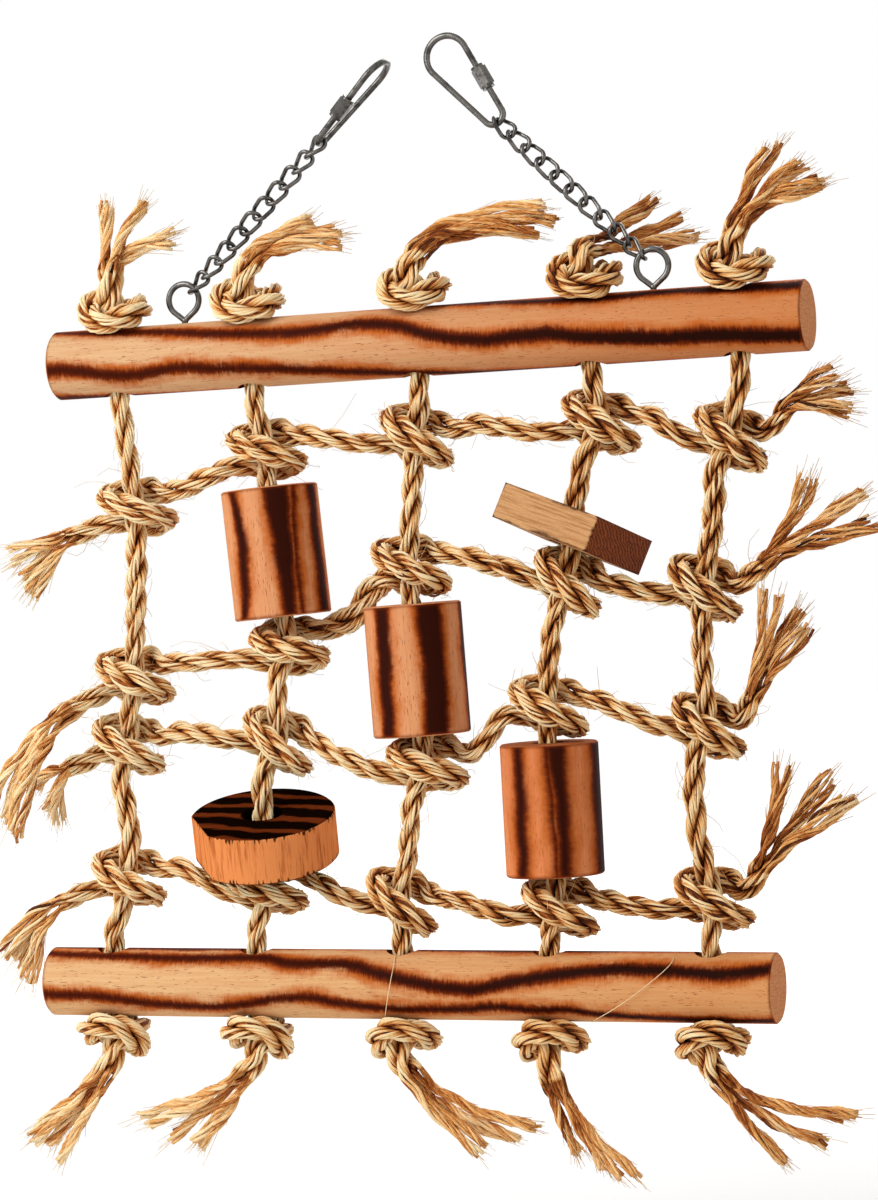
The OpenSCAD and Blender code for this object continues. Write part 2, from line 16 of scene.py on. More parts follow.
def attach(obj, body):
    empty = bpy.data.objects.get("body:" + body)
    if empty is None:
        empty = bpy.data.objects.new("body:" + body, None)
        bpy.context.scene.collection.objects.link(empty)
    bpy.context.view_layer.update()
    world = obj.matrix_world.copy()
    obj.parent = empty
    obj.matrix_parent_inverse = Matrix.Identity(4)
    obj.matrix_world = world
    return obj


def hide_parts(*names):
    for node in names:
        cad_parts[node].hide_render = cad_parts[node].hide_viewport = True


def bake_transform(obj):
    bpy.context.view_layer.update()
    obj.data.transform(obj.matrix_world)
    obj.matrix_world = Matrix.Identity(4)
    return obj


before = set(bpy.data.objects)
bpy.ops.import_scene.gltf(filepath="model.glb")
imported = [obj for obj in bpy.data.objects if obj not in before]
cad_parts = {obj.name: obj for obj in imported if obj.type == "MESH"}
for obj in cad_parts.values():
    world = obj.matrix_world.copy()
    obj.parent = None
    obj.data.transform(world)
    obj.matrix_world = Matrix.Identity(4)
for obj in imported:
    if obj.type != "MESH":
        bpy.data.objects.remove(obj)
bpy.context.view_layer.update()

LOG = logging.getLogger("climbing_net")
MM = 0.001
COLUMNS = 5
ROWS = 4
SPAN_PARTS = 24
DEPTH = np.array((0.0, 1.0, 0.0))

Range = tuple[float, float]
Triple = tuple[float, float, float]
Colour = tuple[float, float, float, float]
Vec = np.ndarray
Number = Union[int, float]
Material = bpy.types.Material
Mesh = bpy.types.Mesh
Node = bpy.types.Node
Piece = bpy.types.Object


# Small vector helpers, in millimetres and degrees


def point(x: float, y: float, z: float) -> Vec:
    """A place or a way as an array of three numbers."""
    return np.array((x, y, z), float)


def way(angle: float) -> Vec:
    """The way in the plane of the net at an angle from +X towards +Z."""
    return point(math.cos(math.radians(angle)), 0.0, math.sin(math.radians(angle)))


def unit(v: Vec) -> Vec:
    """The same way with a length of one, for one vector or for rows of them."""
    return v / np.maximum(np.linalg.norm(v, axis=-1, keepdims=True), 1e-9)


def ease(t: Any) -> Any:
    """A smooth step from 0 to 1."""
    c = np.clip(t, 0.0, 1.0)
    return c * c * (3 - 2 * c)


def run_along(line: Vec) -> Vec:
    """The length of a line up to each of its places."""
    return np.concatenate([[0.0], np.cumsum(np.linalg.norm(np.diff(line, axis=0), axis=1))])


def bow(t: Vec, start: Vec, pull: Vec, end: Vec) -> Vec:
    """Places on a curve that leaves its start towards a pull and comes to its end."""
    return (1 - t) ** 2 * start + 2 * t * (1 - t) * pull + t * t * end


def smooth_line(points: Sequence[Vec], step: float) -> Vec:
    """Lays an even line through points.

    Args:
        points: The places that the line goes through.
        step: The distance between two places on the result.

    Returns:
        Places at equal distances along a centripetal curve through the points.
    """
    p = np.array(points, float)
    p = np.vstack([2 * p[0] - p[1], p, 2 * p[-1] - p[-2]])
    fine: list[Vec] = []
    for a, b, c, d in zip(p, p[1:], p[2:], p[3:]):
        steps = [max(np.linalg.norm(v) ** 0.5, 1e-6) for v in (b - a, c - b, d - c)]
        k = np.cumsum([0.0] + steps)
        t = np.linspace(k[1], k[2], SPAN_PARTS, endpoint=False)[:, None]
        ab = ((k[1] - t) * a + (t - k[0]) * b) / (k[1] - k[0])
        bc = ((k[2] - t) * b + (t - k[1]) * c) / (k[2] - k[1])
        cd = ((k[3] - t) * c + (t - k[2]) * d) / (k[3] - k[2])
        abc = ((k[2] - t) * ab + (t - k[0]) * bc) / (k[2] - k[0])
        bcd = ((k[3] - t) * bc + (t - k[1]) * cd) / (k[3] - k[1])
        fine.append(((k[2] - t) * abc + (t - k[1]) * bcd) / (k[2] - k[1]))
    line = np.vstack(fine + [p[-2:-1]])
    run = run_along(line)
    even = np.linspace(0.0, run[-1], max(int(round(run[-1] / step)), 2) + 1)
    return np.stack([np.interp(even, run, line[:, k]) for k in range(3)], axis=1)


# Shader maths


class Kind(Enum):
    """What a socket carries."""

    VALUE = "value"
    VECTOR = "vector"
    COLOUR = "colour"


def srgb(red: float, green: float, blue: float) -> Colour:
    """A colour seen on a screen, 0 to 255, as the light that a shader takes."""
    def light(c: float) -> float:
        """One channel."""
        c /= 255
        return c / 12.92 if c <= 0.04045 else ((c + 0.055) / 1.055) ** 2.4
    return (light(red), light(green), light(blue), 1.0)


def halfway(first: Colour, second: Colour) -> Colour:
    """The colour in the middle between two."""
    return tuple((a + b) / 2 for a, b in zip(first, second))


class Wire:
    """An output socket with arithmetic that adds the nodes that it needs."""

    def __init__(self, graph: "Graph", socket: bpy.types.NodeSocket,
                 kind: Kind = Kind.VALUE) -> None:
        """Keeps a socket.

        Args:
            graph: The graph that the socket belongs to.
            socket: The socket.
            kind: What it carries.
        """
        self.graph = graph
        self.socket = socket
        self.kind = kind

    def _math(self, operation: str, *values: Any) -> "Wire":
        """Adds a Math or Vector Math node for this wire's kind."""
        make = self.graph.vector_math if self.kind is Kind.VECTOR else self.graph.math
        return make(operation, *values)

    def __add__(self, other: Any) -> "Wire":
        """Sum."""
        return self._math("ADD", self, other)

    def __radd__(self, other: Any) -> "Wire":
        """Sum with a number on the left."""
        return self._math("ADD", other, self)

    def __sub__(self, other: Any) -> "Wire":
        """Difference."""
        return self._math("SUBTRACT", self, other)

    def __rsub__(self, other: Any) -> "Wire":
        """Difference from a number."""
        return self._math("SUBTRACT", other, self)

    def __mul__(self, other: Any) -> "Wire":
        """Product."""
        return self._math("MULTIPLY", self, other)

    def __rmul__(self, other: Any) -> "Wire":
        """Product with a number on the left."""
        return self._math("MULTIPLY", other, self)

    def __truediv__(self, other: Any) -> "Wire":
        """Quotient."""
        return self._math("DIVIDE", self, other)

    def __abs__(self) -> "Wire":
        """Size without sign."""
        return self._math("ABSOLUTE", self)

    def __pow__(self, other: Any) -> "Wire":
        """Power."""
        return self._math("POWER", self, other)

    def least(self, other: Any) -> "Wire":
        """The smaller of two values."""
        return self.graph.math("MINIMUM", self, other)

    def most(self, other: Any) -> "Wire":
        """The larger of two values."""
        return self.graph.math("MAXIMUM", self, other)

    def over(self, edge: Number, soft: Number) -> "Wire":
        """A mask that rises from 0 to 1 as the value passes an edge.

        Args:
            edge: The value in the middle of the rise.
            soft: Half the width of the rise.

        Returns:
            The mask.
        """
        return self.graph.reach(self, edge - soft, edge + soft)


class Graph:
    """The node tree of one material or world."""

    def __init__(self, owner: Union[Material, bpy.types.World]) -> None:
        """Empties a node tree and keeps it.

        Args:
            owner: The material or world that the tree belongs to.
        """
        owner.use_nodes = True
        self.owner = owner
        self.tree = owner.node_tree
        self.tree.nodes.clear()

    def node(self, kind: str, settings: dict[str, Any] | None = None,
             sockets: dict[Any, Any] | None = None) -> Node:
        """Adds one node.

        Args:
            kind: The node's type.
            settings: Properties that are set first. "stops" fills a ramp, "curve" a float curve.
            sockets: Values or wires for input sockets, by name or number.

        Returns:
            The node.
        """
        made = self.tree.nodes.new(kind)
        for name, value in (settings or {}).items():
            if name == "stops":
                ramp = made.color_ramp.elements
                while len(ramp) < len(value):
                    ramp.new(1.0)
                for element, (place, colour) in zip(ramp, value):
                    element.position = place
                    element.color = colour
            elif name == "curve":
                curve = made.mapping.curves[0]
                while len(curve.points) < len(value):
                    curve.points.new(0.5, 0.5)
                for stop, (place, height) in zip(curve.points, value):
                    stop.location = (place, height)
                made.mapping.update()
            else:
                setattr(made, name, value)
        for name, value in (sockets or {}).items():
            if isinstance(value, Wire):
                self.tree.links.new(value.socket, made.inputs[name])
            else:
                made.inputs[name].default_value = value
        return made

    def math(self, operation: str, *values: Any) -> Wire:
        """One Math node on values."""
        made = self.node("ShaderNodeMath", {"operation": operation}, dict(enumerate(values)))
        return Wire(self, made.outputs[0])

    def vector_math(self, operation: str, *values: Any) -> Wire:
        """Adds one Vector Math node.

        Args:
            operation: What the node does.
            *values: Its inputs. A single number is spread over the three axes.

        Returns:
            The node's result.
        """
        spread = [(v, v, v) if isinstance(v, (int, float)) else v for v in values]
        made = self.node("ShaderNodeVectorMath", {"operation": operation}, dict(enumerate(spread)))
        return Wire(self, made.outputs[0], Kind.VECTOR)

    def reach(self, value: Wire, low: Number, high: Number) -> Wire:
        """The value's share of the way from low to high, eased and kept between 0 and 1."""
        made = self.node("ShaderNodeMapRange", {"interpolation_type": "SMOOTHSTEP"},
                         {"Value": value, "From Min": low, "From Max": high})
        return Wire(self, made.outputs[0])

    def outside(self, first: Wire, second: Wire, radius: Number, soft: Number) -> Wire:
        """A mask of what lies outside a circle round the middle of two coordinates."""
        return ((first * first + second * second) ** 0.5).over(radius, soft)

    def place(self, middle: Triple, turn: Triple) -> tuple[Wire, Wire, Wire, Wire]:
        """A piece's own coordinates.

        Args:
            middle: The piece's middle, in metres.
            turn: How the piece is turned, in radians.

        Returns:
            The place as a vector and as its three coordinates, in millimetres.
        """
        seen = Wire(self, self.node("ShaderNodeTexCoord").outputs["Object"], Kind.VECTOR)
        mapped = self.node("ShaderNodeMapping", {"vector_type": "TEXTURE"},
                           {"Vector": seen, "Location": middle, "Rotation": turn,
                            "Scale": (MM, MM, MM)})
        spot = Wire(self, mapped.outputs[0], Kind.VECTOR)
        split = self.node("ShaderNodeSeparateXYZ", None, {0: spot})
        x, y, z = (Wire(self, out) for out in split.outputs)
        return spot, x, y, z

    def noise(self, vector: Wire, scale: Union[Number, Triple], detail: Number = 2.0,
              rough: Number = 0.5) -> Wire:
        """A soft random value, mostly between 0.3 and 0.7.

        Args:
            vector: The place that it is taken at.
            scale: How fine it is, one number or one for each axis.
            detail: How many finer layers it has.
            rough: How strong the finer layers are.

        Returns:
            The value.
        """
        if isinstance(scale, tuple):
            vector, scale = vector * scale, 1.0
        made = self.node("ShaderNodeTexNoise", None,
                         {"Vector": vector, "Scale": scale, "Detail": detail, "Roughness": rough})
        return Wire(self, made.outputs[0])

    def ramp(self, value: Wire, stops: Sequence[tuple[float, Colour]]) -> Wire:
        """A colour looked up in a row of stops."""
        made = self.node("ShaderNodeValToRGB", {"stops": stops}, {0: value})
        return Wire(self, made.outputs[0], Kind.COLOUR)

    def curve(self, value: Wire, stops: Sequence[Range]) -> Wire:
        """A value looked up on a smooth curve."""
        made = self.node("ShaderNodeFloatCurve", {"curve": stops}, {"Value": value})
        return Wire(self, made.outputs[0])

    def mix(self, factor: Any, first: Any, second: Any) -> Wire:
        """Two colours mixed by a factor."""
        made = self.node("ShaderNodeMix", {"data_type": "RGBA"}, {0: factor, 6: first, 7: second})
        return Wire(self, made.outputs[2], Kind.COLOUR)

    def attribute(self, name: str, kind: Kind) -> Wire:
        """A value or a vector that the mesh carries."""
        made = self.node("ShaderNodeAttribute", {"attribute_name": name})
        return Wire(self, made.outputs["Vector" if kind is Kind.VECTOR else "Fac"], kind)

    def surface(self, sockets: dict[str, Any], height: Wire, depth: Number) -> Material:
        """Ends the graph in a principled surface.

        Args:
            sockets: The surface's values and wires.
            height: A relief that goes into the normal.
            depth: How deep the relief is, in millimetres.

        Returns:
            The material.
        """
        bump = self.node("ShaderNodeBump", None,
                         {"Height": height, "Distance": depth * MM, "Strength": 1.0})
        shader = self.node("ShaderNodeBsdfPrincipled", None,
                           {**sockets, "Normal": Wire(self, bump.outputs[0])})
        self.node("ShaderNodeOutputMaterial", None, {0: Wire(self, shader.outputs[0])})
        return self.owner


# Finishes


@dataclass(frozen=True)
class SisalFinish:
    """Straw-coloured yarn with fine streaks along it."""

    name: str = "sisal"
    dark: Colour = srgb(58, 22, 4)
    brown: Colour = srgb(168, 84, 24)
    straw: Colour = srgb(240, 176, 98)
    pale: Colour = srgb(255, 232, 184)
    streak_scale: float = 2.6
    streak_depth: float = 1.2
    hair_scale: float = 8.0
    hair_depth: float = 1.3
    specular: float = 0.15
    relief: float = 0.35

    def make(self) -> Material:
        """Builds the material from the yarn's own attributes.

        Returns:
            The material.
        """
        g = Graph(bpy.data.materials.new(self.name))
        # The tone holds each yarn's own tone together with painted shade and highlight
        tone = g.attribute("tone", Kind.VALUE)
        grain = g.attribute("grain", Kind.VECTOR)
        streak = g.noise(grain, self.streak_scale, 3.0, 0.62)
        hair = g.noise(grain, self.hair_scale, 2.0, 0.6)
        level = tone + (streak - 0.5) * self.streak_depth + (hair - 0.5) * self.hair_depth
        shades = [(0.0, self.dark), (0.32, self.brown), (0.6, self.straw), (0.95, self.pale)]
        return g.surface({"Base Color": g.ramp(level, shades), "Roughness": 0.5 + streak * 0.3,
                          "Specular IOR Level": self.specular},
                         streak * 0.6 + hair * 0.4, self.relief)


@dataclass(frozen=True)
class Stripe:
    """One scorched stripe along a turned piece.

    The path holds places along the piece from 0 to 1, each with an angle round it in degrees.
    The widths hold half widths at the two ends and the middle, in millimetres.
    """

    path: tuple[Range, ...]
    widths: Triple

    @classmethod
    def even(cls, angles: Sequence[float], widths: Triple) -> "Stripe":
        """A stripe whose angles stand at even places."""
        return cls(tuple((k / (len(angles) - 1), a) for k, a in enumerate(angles)), widths)


@dataclass(frozen=True)
class ScorchedFinish:
    """Pine with wavy scorched stripes along a turned piece whose axis is its own X."""

    name: str
    middle: Triple
    turn: Triple
    length: float
    radius: float
    stripes: tuple[Stripe, ...]
    # The right shades are darker: partly the wood's own tone, partly painted shade for light that
    # falls from the left
    left_wood: Colour = srgb(216, 174, 130)
    right_wood: Colour = srgb(200, 130, 80)
    edge: Colour = srgb(186, 94, 34)
    scorch: Colour = srgb(108, 37, 8)
    left_core: Colour = srgb(64, 19, 5)
    right_core: Colour = srgb(36, 9, 3)
    end_wood: Colour = srgb(206, 142, 98)
    painted_bore_shade: Colour = srgb(52, 22, 9)
    feather: float = 1.0
    fray: float = 0.8
    bore: float = 0.0
    specular: float = 0.03
    relief: float = 0.16

    # How fine each pattern is along the piece's own axes, for each millimetre
    WAVE = (0.045, 0.05, 0.05)
    BRUSH = (0.55, 0.4, 0.4)
    HAIR = (2.2, 0.3, 0.3)
    GRAIN = (0.05, 1.1, 1.1)
    FLECK = (0.35, 2.6, 2.6)
    GLOW = (0.06, 0.17, 0.17)
    RINGS = (0.02, 0.35, 1.6)

    # Where each shade begins and ends, in millimetres from a stripe's edge
    CORE_BAND = (-1.4, 0.7)
    SCORCH_BAND = (-0.2, 2.0)
    EDGE_BAND = (0.4, 4.4)

    # What the full height of a curve stands for, in degrees and in millimetres
    CURVE_TURN = 720.0
    CURVE_WIDTH = 20.0

    def make(self) -> Material:
        """Builds the material: stripes by their distance, grain, flecks, end faces and painted
        shade in the bore.

        Returns:
            The material.
        """
        g = Graph(bpy.data.materials.new(self.name))
        spot, x, y, z = g.place(self.middle, self.turn)
        along = x / self.length + 0.5
        brush = g.noise(spot, self.BRUSH, 3.0, 0.6) - 0.5
        hair = g.noise(spot, self.HAIR, 2.0, 0.6) - 0.5
        away = self._nearest(g, spot, along, g.math("ARCTAN2", z, y * -1))
        away = away + brush * 1.8 + hair * (2.6 * self.fray)
        grain = g.noise(spot, self.GRAIN, 4.0, 0.6)
        # Towards the right end the wood and the stripe cores take the darker right shades: partly
        # the wood's own tone, partly painted shade
        wood = g.mix(along.over(0.5, 0.5), self.left_wood, self.right_wood)
        wood = g.mix(g.reach(grain, 0.36, 0.68), g.mix(0.22, wood, self.edge), wood)
        fleck = g.noise(spot, self.FLECK, 1.0).over(0.68, 0.02)
        wood = g.mix(fleck * 0.6, wood, self.scorch)
        core = g.mix(along.over(0.45, 0.4), self.left_core, self.right_core)
        burnt = g.mix(self._band(g, away, self.CORE_BAND), core, self.scorch)
        burnt = g.mix(self._band(g, away, self.SCORCH_BAND), burnt, self.edge)
        glow = g.noise(spot, self.GLOW, 3.0, 0.6) - 0.5
        colour = g.mix(self._band(g, away + glow * 7.0, self.EDGE_BAND), burnt, wood)
        rim = abs(x).over(self.length / 2 - 1.0, 0.6) * (0.6 + brush * 1.2)
        colour = g.mix(rim, colour, self.scorch)
        rings = g.noise(spot, self.RINGS, 3.0)
        cut = g.mix(g.reach(rings, 0.35, 0.65), self.end_wood, halfway(self.end_wood, self.edge))
        faces = abs(x).over(self.length / 2 - 0.4, 0.15)
        colour = g.mix(faces, colour, cut)
        if self.bore:
            # Painted shade: the bore and a thin ring round it are dark
            colour = g.mix(g.outside(y, z, self.bore + 0.5, 0.3), self.painted_bore_shade, colour)
        return g.surface({"Base Color": colour, "Roughness": 0.46 + grain * 0.25 + faces * 0.2,
                          "Specular IOR Level": self.specular}, grain + brush * 0.3, self.relief)

    def _nearest(self, g: Graph, spot: Wire, along: Wire, angle: Wire) -> Wire:
        """Measures how far a place is from the nearest stripe.

        Args:
            g: The material's graph.
            spot: The place as a vector.
            along: The place along the piece, from 0 to 1.
            angle: The place's angle round the piece, in radians.

        Returns:
            The distance from the stripe's edge in millimetres, below 0 inside it.
        """
        wave = (g.noise(spot, self.WAVE, 2.0) - 0.5) * 0.22
        nearest: Wire | None = None
        for stripe in self.stripes:
            turns = [(place, degrees / self.CURVE_TURN + 0.5) for place, degrees in stripe.path]
            path = (g.curve(along, turns) - 0.5) * math.radians(self.CURVE_TURN)
            widths = [(k / 2, width / self.CURVE_WIDTH) for k, width in enumerate(stripe.widths)]
            width = g.curve(along, widths) * self.CURVE_WIDTH
            off = g.math("WRAP", angle - path + wave, math.pi, -math.pi)
            away = abs(off) * self.radius - width
            nearest = away if nearest is None else nearest.least(away)
        return nearest

    def _band(self, g: Graph, away: Wire, band: Range) -> Wire:
        """The share of the way through a shade's band, which a soft stripe widens."""
        return g.reach(away, band[0], band[1] * self.feather)


@dataclass(frozen=True)
class SlabFinish:
    """A pine slab, pale along the grain and brown across it."""

    name: str
    middle: Triple
    turn: Triple
    half: float
    half_t: float
    bore: float
    side_wood: Colour = srgb(200, 150, 102)
    side_line: Colour = srgb(160, 106, 60)
    cut_wood: Colour = srgb(146, 74, 36)
    cut_line: Colour = srgb(74, 29, 10)
    burnt: Colour = srgb(58, 22, 8)
    singed: float = 1.6
    specular: float = 0.05
    relief: float = 0.2

    # How fine each pattern is along the slab's own axes, for each millimetre
    LINE = (0.06, 0.9, 1.3)
    SPECK = (0.9, 2.2, 2.2)
    PATCH = (0.11, 0.11, 0.3)

    def make(self) -> Material:
        """Builds the material with end grain on the two faces across X, singed edges and painted
        shade in the bore.

        Returns:
            The material.
        """
        g = Graph(bpy.data.materials.new(self.name))
        spot, x, y, z = g.place(self.middle, self.turn)
        line = g.noise(spot, self.LINE, 4.0, 0.6)
        speck = g.noise(spot, self.SPECK, 2.0, 0.6)
        patch = g.noise(spot, self.PATCH, 3.0, 0.6) - 0.5
        side = g.mix(g.reach(line, 0.44, 0.66) * 0.8, self.side_wood, self.side_line)
        side = g.mix(g.reach(speck, 0.55, 0.75) * 0.5, side, self.side_line)
        slant = g.math("SINE", (y * 1.1 + z * 1.7 + patch * 9) * 2.2) * 0.5 + (speck - 0.5) * 2.4
        cut = g.mix(g.reach(slant, -0.7, 0.8), self.cut_wood, self.cut_line)
        colour = g.mix(abs(x).over(self.half - 0.35, 0.1), side, cut)
        inner, inner_t = self.half - self.singed, self.half_t - self.singed
        rim = (abs(x) - inner).most(0) + (abs(z) - inner_t).most(0) + (abs(y) - inner).most(0)
        colour = g.mix(g.reach(rim + patch * 5.0, 2.4, 3.6) * 0.9, colour, self.burnt)
        # Painted shade: the bore and a thin ring round it take the singed colour
        colour = g.mix(g.outside(x, y, self.bore + 0.5, 0.3), self.burnt, colour)
        return g.surface({"Base Color": colour, "Roughness": 0.5 + line * 0.25,
                          "Specular IOR Level": self.specular}, line + slant * 0.5, self.relief)


@dataclass(frozen=True)
class DiscFinish:
    """A thick disc: scorched bars across its faces and bright orange wood round its rim."""

    name: str
    middle: Triple
    turn: Triple
    half: float
    bore: float
    rim: Colour = srgb(228, 140, 80)
    rim_line: Colour = srgb(178, 94, 46)
    face: Colour = srgb(100, 42, 16)
    bar: Colour = srgb(15, 5, 2)
    specular: float = 0.0
    relief: float = 0.2

    # How fine each pattern is along the disc's own axes, for each millimetre
    BEND = (0.05, 0.04, 0.02)
    RAG = (0.16, 1.2, 0.2)
    LINE = (0.8, 0.8, 0.07)
    NICK = (0.9, 0.9, 0.0)

    def make(self) -> Material:
        """Builds the material with bars along X on the faces across Z and painted shade in the
        bore.

        Returns:
            The material.
        """
        g = Graph(bpy.data.materials.new(self.name))
        spot, x, y, z = g.place(self.middle, self.turn)
        bend = g.noise(spot, self.BEND, 2.0) - 0.5
        wave = g.math("SINE", (y + bend * 12) * 0.56 + 0.6)
        rag = g.noise(spot, self.RAG, 3.0, 0.65) - 0.5
        top = g.mix(g.reach(wave + rag * 1.5, -0.85, -0.1), self.face, self.bar)
        line = g.noise(spot, self.LINE, 4.0, 0.62)
        side = g.mix(g.reach(line, 0.46, 0.72), self.rim, self.rim_line)
        nick = g.noise(spot, self.NICK, 2.0)
        edge = abs(z) - self.half + g.reach(nick, 0.4, 0.75) * 3.2
        side = g.mix(g.reach(edge, 0.2, 1.0) * 0.9, side, self.bar)
        colour = g.mix(abs(z).over(self.half - 0.35, 0.1), side, top)
        # Painted shade: the bore and a thin ring round it take the bars' colour
        colour = g.mix(g.outside(x, y, self.bore + 0.6, 0.4), self.bar, colour)
        return g.surface({"Base Color": colour, "Roughness": 0.46 + line * 0.25,
                          "Specular IOR Level": self.specular}, line + rag * 0.5, self.relief)


@dataclass(frozen=True)
class NickelFinish:
    """Bright nickel-plated steel wire with faint drawing marks and darker blotches that are
    painted dark reflections.
    """

    name: str = "nickel"
    metal: Colour = srgb(100, 97, 93)
    painted_dark_reflection: Colour = srgb(60, 58, 56)
    roughness: float = 0.16
    cloud_scale: float = 260.0
    mark_scale: float = 1400.0
    relief: float = 0.03

    def make(self) -> Material:
        """Builds the material.

        Returns:
            The material.
        """
        g = Graph(bpy.data.materials.new(self.name))
        spot = Wire(g, g.node("ShaderNodeTexCoord").outputs["Object"], Kind.VECTOR)
        cloud = g.noise(spot, self.cloud_scale, 3.0, 0.6)
        # Painted reflection: darker blotches stand in for the dark reflections of bright plating
        colour = g.mix(g.reach(cloud, 0.42, 0.7), self.metal, self.painted_dark_reflection)
        return g.surface({"Base Color": colour, "Metallic": 1.0,
                          "Roughness": self.roughness + cloud * 0.16},
                         g.noise(spot, self.mark_scale, 2.0), self.relief)


# Where everything hangs


@dataclass(frozen=True)
class Hanging:
    """Places of the links, the chains and the two perches, in millimetres."""

    left_top: Triple = (-9.2, 0.0, -2.2)
    right_top: Triple = (7.4, 0.0, 4.7)
    left_link_way: float = 48.2
    right_link_way: float = 129.5
    left_chain_way: float = 226.8
    right_chain_way: float = 317.5
    link_len: float = 40.5
    link_wire: float = 2.4
    chain_wire: float = 1.6
    chain_inner: float = 7.7
    chain_width: float = 7.4
    chain_count: int = 10
    wire_gap: float = 0.4
    eye_wire: float = 2.2
    eye_r: float = 5.8
    eye_stand: float = 8.4
    perch_d: float = 25.0
    perch_shift: float = 2.0
    top_len: float = 282.0
    bottom_len: float = 274.0
    net_height: float = 205.5
    bottom_shift: float = -6.0
    bottom_tilt: float = 1.75

    def link_end(self, top: Triple, angle: float) -> Vec:
        """The middle of the wire at a link's narrow end."""
        return point(*top) - (self.link_len - self.link_wire / 2) * way(angle)

    @cached_property
    def chain_span(self) -> float:
        """Measures a chain with what it hangs on.

        Returns:
            The distance from a link's narrow end to the middle of a screw eye.
        """
        pitch = self.chain_inner - self.wire_gap
        reach = (self.chain_count - 1) * pitch + self.chain_inner + self.chain_wire
        hangs = (self.link_wire + self.eye_wire) / 2 + self.chain_wire + 2 * self.wire_gap
        return reach - hangs + self.eye_r

    @cached_property
    def eyes(self) -> tuple[Vec, Vec]:
        """Finds the two screw eyes.

        Returns:
            Their middles, the left one first.
        """
        left = self.link_end(self.left_top, self.left_link_way)
        right = self.link_end(self.right_top, self.right_link_way)
        return (left + self.chain_span * way(self.left_chain_way),
                right + self.chain_span * way(self.right_chain_way))

    @cached_property
    def top_tilt(self) -> float:
        """Slope of the upper perch in degrees."""
        across = self.eyes[1] - self.eyes[0]
        return math.degrees(math.atan2(across[2], across[0]))

    @cached_property
    def top_middle(self) -> Vec:
        """The middle of the upper perch."""
        return ((self.eyes[0] + self.eyes[1]) / 2 + self.perch_shift * way(self.top_tilt)
                - (self.perch_d / 2 + self.eye_stand) * way(self.top_tilt + 90))

    @cached_property
    def net_z(self) -> float:
        """The height that drops in the net are measured from."""
        return float(self.top_middle[2]) - self.perch_d / 2

    @cached_property
    def bottom_middle(self) -> Vec:
        """The middle of the lower perch."""
        return point(self.top_middle[0] + self.bottom_shift, 0.0,
                     self.net_z - self.net_height - self.perch_d / 2)


@dataclass(frozen=True)
class RopeHoles:
    """A perch's row of holes, and how the uprights are knotted beyond them.

    Outward is 1 where the knots lie above the perch and -1 where they lie below it.
    """

    middle: Vec
    tilt: float
    outward: int
    holes: tuple
    turns: tuple
    necks: tuple

    @cached_property
    def run(self) -> Vec:
        """The way along the perch."""
        return way(self.tilt)

    @cached_property
    def out(self) -> Vec:
        """The way out of the net."""
        return self.outward * way(self.tilt + 90)

    def at(self, col: int, height: float) -> Vec:
        """A place in line with a hole, at a height outwards from the perch's middle."""
        return self.middle + self.holes[col] * self.run + height * self.out

    def clear_of(self, path: Vec) -> float:
        """How near a path comes to the perch's middle line."""
        return np.linalg.norm(np.cross(path - self.middle, self.run), axis=1).min()


